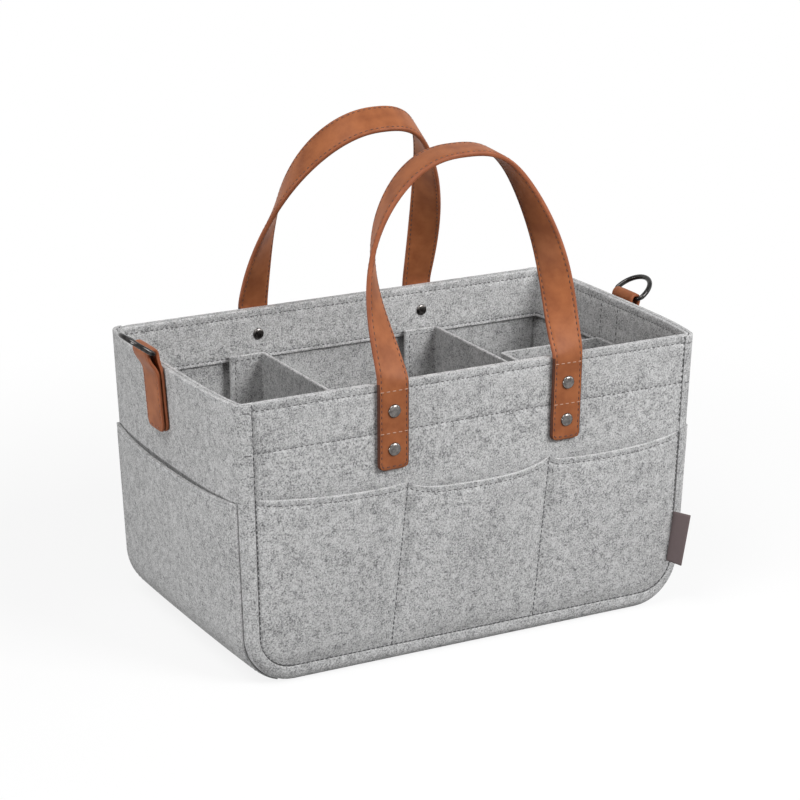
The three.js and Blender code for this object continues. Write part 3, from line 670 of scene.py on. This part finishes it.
# Hook-and-loop tapes
# Woven 20 mm tapes hold the dividers: the loop half is sewn to the walls and to the right divider, and the
# hook half to the tabs. Their faces are a dense pile with a plain selvedge.
TAPE_WIDTH, TAPE_LOW, TAPE_HIGH = 20.0, 45.0, HEIGHT - 74.0
TAPE = (TAB_STANDOFF - 3 * GAP) / 2
tape_pile, place, surface = new_finish("tape_pile", "Object", Roughness=0.9, Sheen_Weight=0.2)
loops = place.noise(1500, 2, 0.6)
loops.between(0.35, 0.7).mixed((0.11, 0.11, 0.115, 1), (0.27, 0.27, 0.275, 1)).feed(surface, "Base Color")
loops.bumped(surface, 0.7, 0.5)


def tape_piece(node, body, settle):
    columns, rows = 15, 41

    def tape_place(i, j, layer):
        share = 2 * i / (columns - 1) - 1
        selvedge = 0.35 * max(0.0, (abs(share) - 0.8) / 0.2)
        depth = (TAPE / 2 - selvedge) * (-1 if layer else 1)
        return settle(share * TAPE_WIDTH / 2, depth, TAPE_LOW + (TAPE_HIGH - TAPE_LOW) * j / (rows - 1))

    piece = make_piece(f"{node}_woven", *layers_of(columns, rows, tape_place), tape_pile)
    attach(piece, body)
    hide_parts(node)


def wall_tape(middle_x, middle_y):
    def settle(across, depth, z):
        return Vector((middle_x + across, tapered(middle_y + depth, z), z))

    return settle


def cross_tape(middle_x, leaning):
    def settle(across, depth, z):
        x = middle_x + depth
        return Vector((cross_lean(x, z) if leaning else x, CROSS_DIVIDER_Y - DIVIDER_TAB / 2 + across, z))

    return settle


loop_depth, hook_depth = GAP + TAPE / 2, TAB_STANDOFF - GAP - TAPE / 2
for name, divider_x in MAIN_DIVIDERS:
    for wall, wall_name in WALLS:
        middle_x, inside = divider_x - DIVIDER_TAB / 2, PANEL_FACE - FELT
        tape_piece(f"{name}_{wall_name}_loop_tape", "body", wall_tape(middle_x, wall * (inside - loop_depth)))
        tape_piece(f"{name}_{wall_name}_hook_tape", name, wall_tape(middle_x, wall * (inside - hook_depth)))
right_face = RIGHT_DIVIDER_X + FELT / 2
tape_piece("right_divider_side_loop_tape", "right_divider", cross_tape(right_face + loop_depth, False))
tape_piece("cross_divider_left_hook_tape", "cross_divider", cross_tape(right_face + hook_depth, False))
tape_piece("cross_divider_right_hook_tape", "cross_divider", cross_tape(END_BACK - hook_depth, True))
tape_piece("right_end_loop_tape", "body", cross_tape(END_BACK - loop_depth, True))

# Handles
# Each handle is one strap of two layers of tan leather, sewn along both edges. At its riveted ends its edges
# are dark, painted shade where they lie against the felt. It stands on the rim between them, twists on the
# way up and bends where it leaves the rim.
STRAP_WIDTH, STRAP = 25.0, 4.0
STRAP_CORNER, STRAP_DROP = 5.0, 65.0
EDGE_STITCH = 2.4
HANDLE_PLACE, HALF_SPAN, HANDLE_HEIGHT = 3.0, 73.0, 153.0
HANDLE_DRIFT, LINE_STEP = 3.0, 1.5
STRAP_FACE = PANEL_FACE + GAP + STRAP
FOLD_Z, FOLD_REACH = HEIGHT + 3.0, 11.0
BACK_GRAIN = 40.0


def leather_finish(name, shadow, colour, roughness):
    finish, place, surface = new_finish(name, "UV", Roughness=roughness, Specular_IOR_Level=0.2)
    pores = place.noise(46, 3, 0.6)
    pebbles = place.node("ShaderNodeTexVoronoi", {}, {"Vector": place, "Scale": 34.0})
    stains = place.noise(1.6, 3, 0.55)
    tone = stains.between(0.25, 0.75) + 0.35 * (pores - 0.5)
    tone.mixed(shadow, colour).feed(surface, "Base Color")
    (roughness + 0.25 * (pores - 0.5)).feed(surface, "Roughness")
    (pebbles + pores * 0.5).bumped(surface, 0.16, 0.25)
    return finish


tan_leather = leather_finish("tan_leather", (0.23, 0.071, 0.026, 1), (0.345, 0.117, 0.044, 1), 0.52)
tan_edge = leather_finish("tan_edge", (0.22, 0.066, 0.028, 1), (0.34, 0.11, 0.048, 1), 0.5)
# A dark copy of the edge leather for the riveted ends: painted shade where the strap's edges lie against the
# felt.
end_edge_painted_shade = leather_finish("end_edge_painted_shade", (0.05, 0.016, 0.009, 1), (0.085, 0.028, 0.014, 1), 0.5)
brown_thread = thread_finish("brown_thread", (0.075, 0.02, 0.01, 1))
pale_thread = thread_finish("pale_thread", (0.46, 0.26, 0.17, 1))


def strap_crown(width):
    """A strap's face as (distance from the middle, share of its thickness): a soft crown and stitch dents."""
    half, groove = width / 2, width / 2 - EDGE_STITCH
    return [
        (half, 0.0), (half - 0.12, 0.45), (half - 0.45, 0.74), (half - 1.1, 0.9), (groove + 0.7, 0.9),
        (groove + 0.3, 0.84), (groove, 0.78), (groove - 0.3, 0.84), (groove - 0.8, 0.93),
        (groove - 2.5, 0.98), (groove - 5.5, 1.0), (0.0, 1.0),
    ]


def tangent_at(points, k):
    return (points[min(k + 1, len(points) - 1)] - points[max(k - 1, 0)]).normalized()


def strap_piece(name, line, width, thickness, corner, painted):
    """A strap along a line of (middle, face normal), with spot(s, w, side) on its faces and its length."""
    middles = [middle for middle, _ in line]
    reach = lengths_along(middles)
    total = reach[-1]
    upper = [(w, share * thickness / 2) for w, share in strap_crown(width)]
    section = upper + [(-w, t) for w, t in reversed(upper[:-1])]
    ring = section + [(-w, -t) for w, t in section[1:-1]]
    frames = []
    for k, (middle, normal) in enumerate(line):
        tangent = tangent_at(middles, k)
        normal = (normal - tangent * normal.dot(tangent)).normalized()
        frames.append((middle, tangent.cross(normal), normal))
    points, uvs = [], []
    for (middle, across, normal), s in zip(frames, reach):
        from_end = min(s, total - s)
        cut = corner - math.sqrt(max(0.0, corner**2 - max(0.0, corner - from_end) ** 2))
        narrow = (width / 2 - cut) / (width / 2)
        thin = math.sqrt(max(0.12, 1 - (1 - min(1.0, from_end / 1.3)) ** 2))
        for w, t in ring:
            points.append(middle + across * w * narrow + normal * t * thin)
            uvs.append(((w * narrow + (BACK_GRAIN if t < 0 else 0.0)) / STRAP_WIDTH, s / STRAP_WIDTH))
    count = len(ring)
    faces = tube_faces(0, len(line), count)
    piece = make_piece(name, points, faces, tan_leather, end_edge_painted_shade, tan_edge)
    grain = piece.data.uv_layers.new(name="grain")
    for loop in piece.data.loops:
        grain.data[loop.index].uv = uvs[loop.vertex_index]
    rim = {j for j, (w, _) in enumerate(ring) if abs(w) > width / 2 - 1.2}
    for polygon in piece.data.polygons:
        corners = {vertex % count for vertex in polygon.vertices}
        s = reach[min(polygon.vertices) // count]
        edge = corners <= rim or len(polygon.vertices) > 4
        # Edges near either end take the dark copy, as painted shade; all other edges take the tan edge
        # leather.
        polygon.material_index = (1 if min(s, total - s) < painted else 2) if edge else 0

    def spot(s, w, side):
        k = min(range(len(reach)), key=lambda index: abs(reach[index] - s))
        middle, across, normal = frames[k]
        share = next(share for edge, share in strap_crown(width)[3:] if edge <= abs(w))
        return middle + across * w + normal * side * thickness / 2 * share, normal * side

    return piece, spot, total


def evenly(points, step):
    """The same line with its points at even steps."""
    reach = lengths_along(points)
    count = round(reach[-1] / step)
    found, k = [], 0
    for index in range(count + 1):
        target = reach[-1] * index / count
        while k < len(points) - 2 and reach[k + 1] < target:
            k += 1
        found.append(points[k].lerp(points[k + 1], (target - reach[k]) / (reach[k + 1] - reach[k])))
    return found


def smoothed(line):
    return line[:1] + [(a + 2 * b + c) / 4 for a, b, c in zip(line, line[1:], line[2:])] + line[-1:]


def handle_line(wall, squareness, swell, lean, twist, twist_ease):
    """Middle line of a handle with the strap's face normals, from the left riveted end to the right one."""
    power = 2 / squareness
    foot_lean = math.atan2(lean[0], HANDLE_HEIGHT)
    foot = STRAP_FACE - STRAP / 2 * math.cos(foot_lean)
    arch = []
    for step in range(401):
        angle = math.pi * (1 - step / 400)
        up = math.sin(angle) ** power if 0 < step < 400 else 0.0
        out = math.copysign(abs(math.cos(angle)) ** power, math.cos(angle))
        drift = HANDLE_DRIFT * math.sin(math.pi * up**2)
        x = HANDLE_PLACE + HALF_SPAN * out * (1 + 16 * swell * (up * (1 - up)) ** 2) - drift
        y = wall * (foot - lean[0] * up - lean[1] * up**2)
        arch.append(Vector((x, y, FOLD_Z - STRAP / 2 * math.sin(foot_lean) + HANDLE_HEIGHT * up)))
    heights = [HEIGHT - STRAP_DROP + (STRAP_DROP - 2.5) * step / 40 for step in range(41)]
    left, right = (
        [body_form((HANDLE_PLACE + leg, wall * (STRAP_FACE - STRAP / 2), z)) for z in heights]
        for leg in (-HALF_SPAN, HALF_SPAN)
    )
    line = evenly(left + arch + right[::-1], LINE_STEP)
    for _ in range(14):
        line = [
            soft if abs(point.z - FOLD_Z) < FOLD_REACH else point
            for point, soft in zip(line, smoothed(line))
        ]
    line = evenly(line, LINE_STEP)
    forward = Vector((0.0, -1.0, 0.0))
    framed = []
    for k, point in enumerate(line):
        tangent = tangent_at(line, k)
        face = (forward - tangent * forward.dot(tangent)).normalized()
        inside = tangent.cross(face)
        turn = math.radians(twist) * (max(0.0, point.z - arch[0].z) / HANDLE_HEIGHT) ** twist_ease
        framed.append((point, face * math.cos(turn) + inside * math.sin(turn)))
    return framed


def edge_runs(spot, total):
    """Rows of stitching along both edges of a handle and round its two ends, on both faces."""
    half, inset = STRAP_WIDTH / 2 - EDGE_STITCH, STRAP_CORNER - EDGE_STITCH
    along = [STRAP_CORNER + step * 2.0 for step in range(int((total - 2 * STRAP_CORNER) // 2))]
    turn = [(-half, STRAP_CORNER)]
    for angle in (0.4, 0.8, 1.2, 1.57):
        turn.append((-half + inset * (1 - math.cos(angle)), STRAP_CORNER - inset * math.sin(angle)))
    turn += [(-w, s) for w, s in reversed(turn)]
    runs = []
    for side in (1, -1):
        runs += [[spot(s, w, side) for s in along] for w in (-half, half)]
        runs.append([spot(s, w, side) for w, s in turn])
        runs.append([spot(total - s, w, side) for w, s in turn])
    return runs


for wall, name, arch in (
    (-1, "front_handle", dict(squareness=2.6, swell=0.07, lean=(78.0, -44.0), twist=97, twist_ease=0.8)),
    (1, "back_handle", dict(squareness=2.4, swell=0.0, lean=(47.0, 30.0), twist=125, twist_ease=1.2)),
):
    line = handle_line(wall, **arch)
    strap, spot, total = strap_piece(f"{name}_strap", line, STRAP_WIDTH, STRAP, STRAP_CORNER, STRAP_DROP)
    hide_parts(name, f"{name}_left_end", f"{name}_right_end")
    edge_thread = sew(f"{name}_edge_thread", edge_runs(spot, total), brown_thread, None, 3.0, 1.4, 0.9)
    hem_runs = []
    for stitch in RIM_STITCHES:
        s = stitch - (HEIGHT - STRAP_DROP)
        for along in (s, total - s):
            hem_runs.append([spot(along, step - 11.5, -wall) for step in range(24)])
    hem_thread = sew(f"{name}_hem_thread", hem_runs, pale_thread, None)
    for piece in (strap, edge_thread, hem_thread):
        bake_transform(piece)

# Rivets
# Double-cap rivets of gunmetal-plated steel, two through each strap end. The outer cap is a full dome with a
# fine rolled rim, and a flatter cap is pressed on its post inside.
RIVET_DROPS = {"upper": 20.0, "lower": 49.0}
OUTER_CAP, INNER_CAP, CAP_SINK = (4.9, 0.6, 2.2), (4.4, 0.5, 1.6), 0.25
gunmetal, place, surface = new_finish("gunmetal", "Object", Metallic=1.0, Roughness=0.24)
tarnish = place.noise(420, 4, 0.6)
tarnish.between(0.3, 0.75).mixed((0.1, 0.094, 0.09, 1), (0.23, 0.215, 0.205, 1)).feed(surface, "Base Color")
(0.1 + 0.18 * tarnish).feed(surface, "Roughness")


def turned_cap(name, node, profile, place, axis):
    """A cap turned about its axis from a profile of (radius, height) that starts and ends on the axis."""
    segments = 40
    across = Vector((1.0, 0.0, 0.0))
    up = axis.cross(across)
    points = [place + axis * profile[0][1], place + axis * profile[-1][1]]
    inner = profile[1:-1]
    for radius, height in inner:
        for turn in range(segments):
            angle = 2 * math.pi * turn / segments
            points.append(place + axis * height + (across * math.cos(angle) + up * math.sin(angle)) * radius)
    *faces, crown, back = tube_faces(2, len(inner), segments)
    for pole, ring in enumerate((crown, back)):
        faces += [(pole, here, after) for here, after in zip(ring, ring[1:] + ring[:1])]
    cap = make_piece(name, points, faces, gunmetal)
    cap.data.set_sharp_from_angle(angle=math.radians(40))
    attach(cap, "body")
    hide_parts(node)


def dome(radius, rim, height):
    """Profile of a cap from the top of its dome to the middle of its flat back."""
    angles = [0.16 * step for step in range(1, 10)]
    crown = [(radius * math.sin(angle), rim + (height - rim) * math.cos(angle)) for angle in angles]
    return [(0.0, height), *crown, (radius, rim), (radius + 0.12, rim / 2), (radius - 0.05, 0.0), (0.0, 0.0)]


cap_seat = STRAP_FACE + GAP - CAP_SINK
inner_seats = {"upper": PANEL_FACE - 2 * FELT - 2 * GAP, "lower": PANEL_FACE - FELT - GAP}
for wall, wall_name in WALLS:
    for side, side_name in ENDS:
        for level, drop in RIVET_DROPS.items():
            node = f"{wall_name}_{side_name}_{level}_rivet"
            x = HANDLE_PLACE + side * HALF_SPAN
            outside = body_form((x, wall * cap_seat, HEIGHT - drop))
            inside = body_form((x, wall * inner_seats[level], HEIGHT - drop))
            axis = Vector((0.0, float(wall), 0.0))
            turned_cap(f"{node}_dome", node, dome(*OUTER_CAP), outside, axis)
            turned_cap(f"{node}_inner_dome", f"{node}_inner_cap", dome(*INNER_CAP), inside, -axis)

# D-ring tabs
# A short strap of the same leather is folded round each ring's bar and sewn flat to the outside of the end
# wall. The two long rows of its stitching come through inside, on the facing.
TAB_WIDTH, TAB_LEATHER, TAB_CORNER, TAB_DROP = 28.0, 2.7, 7.0, 50.0
RING_WIRE, RING_PLAY, LOOP_TAPER, BAR_OUT = 3.0, 0.45, 20.0, 7.0
RINGS = {"left": (-1, 9.0, 12.0, math.radians(35)), "right": (1, 5.0, 0.0, math.radians(34))}


def tab_line(side, off_middle, bar_rise):
    """Middle line of a tab with its face normals, up, round the ring's bar and down."""
    bar = HEIGHT + bar_rise
    low, neck = HEIGHT - TAB_DROP, bar - LOOP_TAPER
    wrap = RING_WIRE / 2 + RING_PLAY + TAB_LEATHER / 2
    inner, outer = GAP + TAB_LEATHER / 2, GAP + TAB_LEATHER * 1.5 + 0.1
    up, down = [(inner, low)], [(outer, low)]
    for step in range(13):
        t = step / 12
        out, z = eased(t), neck + LOOP_TAPER * (1.5 * t * (1 - t) + t**3)
        up.append((inner + (BAR_OUT - wrap - inner) * out, z))
        down.append((outer + (BAR_OUT + wrap - outer) * out, z))
    over = []
    for step in range(1, 16):
        angle = math.pi * (1 - step / 16)
        over.append((BAR_OUT + wrap * math.cos(angle), bar + wrap * math.sin(angle)))
    line = evenly([Vector((out, 0.0, z)) for out, z in up + over + down[::-1]], 1.0)
    for _ in range(5):
        line = smoothed(line)
    placed = [body_form((side * (LENGTH / 2 + point.x), off_middle, point.z)) for point in line]
    across = Vector((0.0, float(side), 0.0))
    return [(point, tangent_at(placed, k).cross(across)) for k, point in enumerate(placed)]


tan_thread = thread_finish("tan_thread", (0.2, 0.062, 0.03, 1))
for name, (side, off_middle, bar_rise, _) in RINGS.items():
    line = tab_line(side, off_middle, bar_rise)
    tab, spot, total = strap_piece(f"{name}_ring_tab_strap", line, TAB_WIDTH, TAB_LEATHER, TAB_CORNER, 0.0)
    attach(tab, "body")
    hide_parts(f"{name}_ring_tab")
    flat = TAB_DROP + bar_rise - LOOP_TAPER
    half = TAB_WIDTH / 2 - EDGE_STITCH
    face = -1 if (spot(total - 20.0, 0.0, 1)[1].x > 0) != (side > 0) else 1
    along = [total - TAB_CORNER - step for step in range(int(flat - TAB_CORNER))]
    runs = [[spot(s, w, face) for s in along] for w in (-half, half)]
    runs.append([spot(total - 3.0, -half + 4.0 + step, face) for step in range(int(2 * half - 7))])
    sew(f"{name}_ring_tab_thread", runs, tan_thread)
    inside, inward = side * (LENGTH / 2 - 2 * FELT - GAP), Vector((-float(side), 0.0, 0.0))
    heights = [HEIGHT - FACING_HEIGHT + 2.0 + step for step in range(int(FACING_HEIGHT) - 8)]
    runs = [[(body_form((inside, off_middle + w, z)), inward) for z in heights] for w in (-half, half)]
    sew(f"{name}_ring_tab_inner_thread", runs, grey_thread)

# D-rings
# Each ring is cast with a 4 mm bow, plated black nickel and polished. Its straight 3 mm bar turns in the
# leather loop. They rest as they were left, raised a third of the way up.
RING_WIDTH, RING_REACH, RING_CORNER, RING_BOW, RING_SIDES = 35.0, 21.5, 4.0, 4.0, 16
black_nickel, place, surface = new_finish("black_nickel", "Object", Metallic=1.0, Roughness=0.2)
wear = place.noise(300, 4, 0.6)
wear.between(0.35, 0.75).mixed((0.028, 0.027, 0.027, 1), (0.075, 0.072, 0.07, 1)).feed(surface, "Base Color")
(0.1 + 0.16 * wear).feed(surface, "Roughness")
half = RING_WIDTH / 2
straight_bar = [Vector((0.0, (half - RING_CORNER) * (step / 8 - 1))) for step in range(17)]
corner, bow = [], []
for step in range(1, 9):
    angle = math.pi - step / 8 * math.pi / 2
    y = half - RING_CORNER + RING_CORNER * math.sin(angle)
    corner.append(Vector((RING_CORNER * (1 + math.cos(angle)), y)))
for step in range(1, 48):
    angle = math.pi / 2 - step / 48 * math.pi
    x = RING_CORNER + (RING_REACH - RING_CORNER) * math.cos(angle)
    bow.append(Vector((x, half * math.sin(angle))))
line = straight_bar + corner + bow + [Vector((spot.x, -spot.y)) for spot in reversed(corner)]
for name, (side, off_middle, bar_rise, raise_angle) in RINGS.items():
    bar = body_form((side * (LENGTH / 2 + BAR_OUT), off_middle, HEIGHT + bar_rise))
    out = Vector((side * math.cos(raise_angle), 0.0, math.sin(raise_angle)))
    over = Vector((-side * math.sin(raise_angle), 0.0, math.cos(raise_angle)))
    points = []
    for k, spot in enumerate(line):
        tangent = (line[(k + 1) % len(line)] - line[k - 1]).normalized()
        radius = (RING_WIRE + (RING_BOW - RING_WIRE) * min(1.0, spot.x / RING_CORNER)) / 2
        for turn in range(RING_SIDES):
            angle = 2 * math.pi * turn / RING_SIDES
            across = radius * math.cos(angle)
            reach, along = spot.x + tangent.y * across, spot.y - tangent.x * across
            points.append(bar + out * reach + Vector((0.0, along, 0.0)) + over * radius * math.sin(angle))
    faces = tube_faces(0, len(line), RING_SIDES, closed=True)
    ring = make_piece(f"{name}_d_ring_wire", points, faces, black_nickel)
    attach(ring, f"{name}_ring")
    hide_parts(f"{name}_d_ring")

# Side label
# A short length of dark woven ribbon, folded double and caught in the right front seam, so that it stands out
# like a small flag. It carries no lettering.
LABEL_WIDTH, LABEL_HEIGHT, LABEL_LOW, LABEL = 16.0, 40.0, 36.0, 0.9
LABEL_TURN, LABEL_FLARE = math.radians(-76), math.radians(10)
LABEL_INSET, LABEL_SLANT = 4.5, 3.5
ribbon, place, surface = new_finish("woven_ribbon", "UV", Roughness=0.75, Sheen_Weight=0.25)
threads = {"Vector": place, "Scale": 11.0, "Distortion": 0.4}
weft = place.node("ShaderNodeTexWave", {"bands_direction": "Y"}, threads)
warp = place.node("ShaderNodeTexWave", {"bands_direction": "X"}, threads)
weave = weft * 0.6 + warp * 0.4
weave.mixed((0.07, 0.05, 0.05, 1), (0.14, 0.098, 0.1, 1)).feed(surface, "Base Color")
weave.bumped(surface, 0.5, 0.15)
label_columns, label_rows = 17, 25


def label_place(i, j, layer):
    across = i / (label_columns - 1)
    up = j / (label_rows - 1)
    fold = math.sqrt(max(0.02, 1 - max(0.0, (across - 0.93) / 0.07) ** 2))
    thick = LABEL / 2 * fold * (1 if layer else -1)
    curl = 0.5 * math.sin(across * math.pi) * (0.6 + 0.4 * math.cos(up * 5))
    x, y = LABEL_WIDTH * across, thick + curl * 0.4
    turned = Matrix.Rotation(LABEL_TURN + LABEL_FLARE * up, 2) @ Vector((x, y))
    x = LENGTH / 2 - LIP - LABEL_INSET + LABEL_SLANT * up + turned.x
    return body_form((x, turned.y - DEPTH / 2 - GAP - 0.5, LABEL_LOW + LABEL_HEIGHT * up))


label = make_piece("side_label_ribbon", *layers_of(label_columns, label_rows, label_place), ribbon)
weave_map = label.data.uv_layers.new(name="weave")
for loop in label.data.loops:
    index = loop.vertex_index % (label_columns * label_rows)
    weave_map.data[loop.index].uv = (index % label_columns / label_columns, index // label_columns / 10)
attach(label, "body")
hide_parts("side_label")

# Floor
# A plain white studio floor, which keeps a faint shadow under the caddy. Further out it glows and shows none.
FLOOR_GLOW = 0.86
bpy.ops.mesh.primitive_circle_add(vertices=96, radius=1.0, fill_type="NGON", location=(0, 0, -0.0005))
floor = bpy.context.object
floor.name = "floor"


def plain_sight(tree):
    """1 for rays that show the white surround, and 0 for the light that it gives."""
    path = tree.nodes.new("ShaderNodeLightPath")
    rays = "Is Camera Ray", "Is Glossy Ray", "Is Transmission Ray"
    seen, glossy, through = (Shade(tree, path.outputs[ray]) for ray in rays)
    return seen.math("MAXIMUM", seen.math("MAXIMUM", seen, glossy), through)


paper = bpy.data.materials.new("white_paper")
paper.use_nodes = True
tree = paper.node_tree
tree.nodes.remove(tree.nodes["Principled BSDF"])
shown = plain_sight(tree)
bounce = shown.node("ShaderNodeBsdfDiffuse", {}, {"Color": (0.25, 0.25, 0.25, 1)})
sheet = shown.node("ShaderNodeBsdfDiffuse", {}, {"Color": (0.9, 0.9, 0.9, 1)})
glow = shown.node("ShaderNodeEmission", {}, {"Color": (1, 1, 1, 1), "Strength": 1.0})
place = Shade(tree, tree.nodes.new("ShaderNodeTexCoord").outputs["Object"])
away = place.node("ShaderNodeVectorMath", {"operation": "LENGTH"}, {0: place}, 1)
glowing = FLOOR_GLOW + (1 - FLOOR_GLOW) * away.between(0.35, 0.8)
bright = shown.node("ShaderNodeMixShader", {}, {0: glowing, 1: sheet, 2: glow})
blank = shown.node("ShaderNodeMixShader", {}, {0: shown, 1: bounce, 2: bright})
tree.links.new(blank.socket, tree.nodes["Material Output"].inputs["Surface"])
floor.data.materials.append(paper)

# Light
# A white studio: dim walls all round, soft lamps at the front right, at the right and overhead, and a low one
# at the left.
studio = bpy.context.scene.world or bpy.data.worlds.new("studio")
bpy.context.scene.world = studio
studio.use_nodes = True
tree = studio.node_tree
tree.nodes.clear()
shown = plain_sight(tree)
walls = shown.node("ShaderNodeBackground", {}, {"Color": (1, 1, 1, 1), "Strength": 0.1})
backdrop = shown.node("ShaderNodeBackground", {}, {"Color": (1, 1, 1, 1), "Strength": 1.0})
room = shown.node("ShaderNodeMixShader", {}, {0: shown, 1: walls, 2: backdrop})
output = tree.nodes.new("ShaderNodeOutputWorld")
tree.links.new(room.socket, output.inputs["Surface"])


def soft_lamp(name, place, aim, size, power):
    """A square lamp aimed at a height on the caddy's middle line."""
    lamp = bpy.data.lights.new(name, "AREA")
    lamp.shape = "SQUARE"
    lamp.size = size
    lamp.energy = power
    fitting = bpy.data.objects.new(name, lamp)
    fitting.location = place
    fitting.rotation_euler = (Vector((0.0, 0.0, aim)) - Vector(place)).to_track_quat("-Z", "Y").to_euler()
    bpy.context.scene.collection.objects.link(fitting)


soft_lamp("front_lamp", (0.77, -1.55, 1.27), 0.12, 0.9, 37.0)
soft_lamp("right_lamp", (2.1, -1.0, 1.0), 0.12, 1.0, 8.0)
soft_lamp("top_lamp", (-1.1, -0.5, 2.1), 0.12, 1.2, 28.0)
soft_lamp("left_lamp", (-1.9, -0.3, 0.14), 0.1, 0.3, 15.0)

# Camera
# A long lens from the front left, a little above the rim, with the lens shifted so that the caddy stands low.
FIELD = math.radians(17)
AZIMUTH, ELEVATION, DISTANCE = math.radians(-28.42), math.radians(18.959), 2.0689
PICTURE = 800
camera = bpy.data.cameras.new("camera")
camera.sensor_width = 36.0
camera.lens = camera.sensor_width / 2 / math.tan(FIELD / 2)
camera.shift_x = -1.803 / PICTURE
camera.shift_y = 65.077 / PICTURE
camera_stand = bpy.data.objects.new("camera", camera)
level = math.cos(ELEVATION)
back = Vector((math.sin(AZIMUTH) * level, -math.cos(AZIMUTH) * level, math.sin(ELEVATION)))
camera_stand.location = Vector((0.0, 0.0, HEIGHT / 2 * MM)) + back * DISTANCE
camera_stand.rotation_euler = (-back).to_track_quat("-Z", "Y").to_euler()
bpy.context.scene.collection.objects.link(camera_stand)
bpy.context.scene.camera = camera_stand
bpy.context.scene.view_settings.view_transform = "Standard"
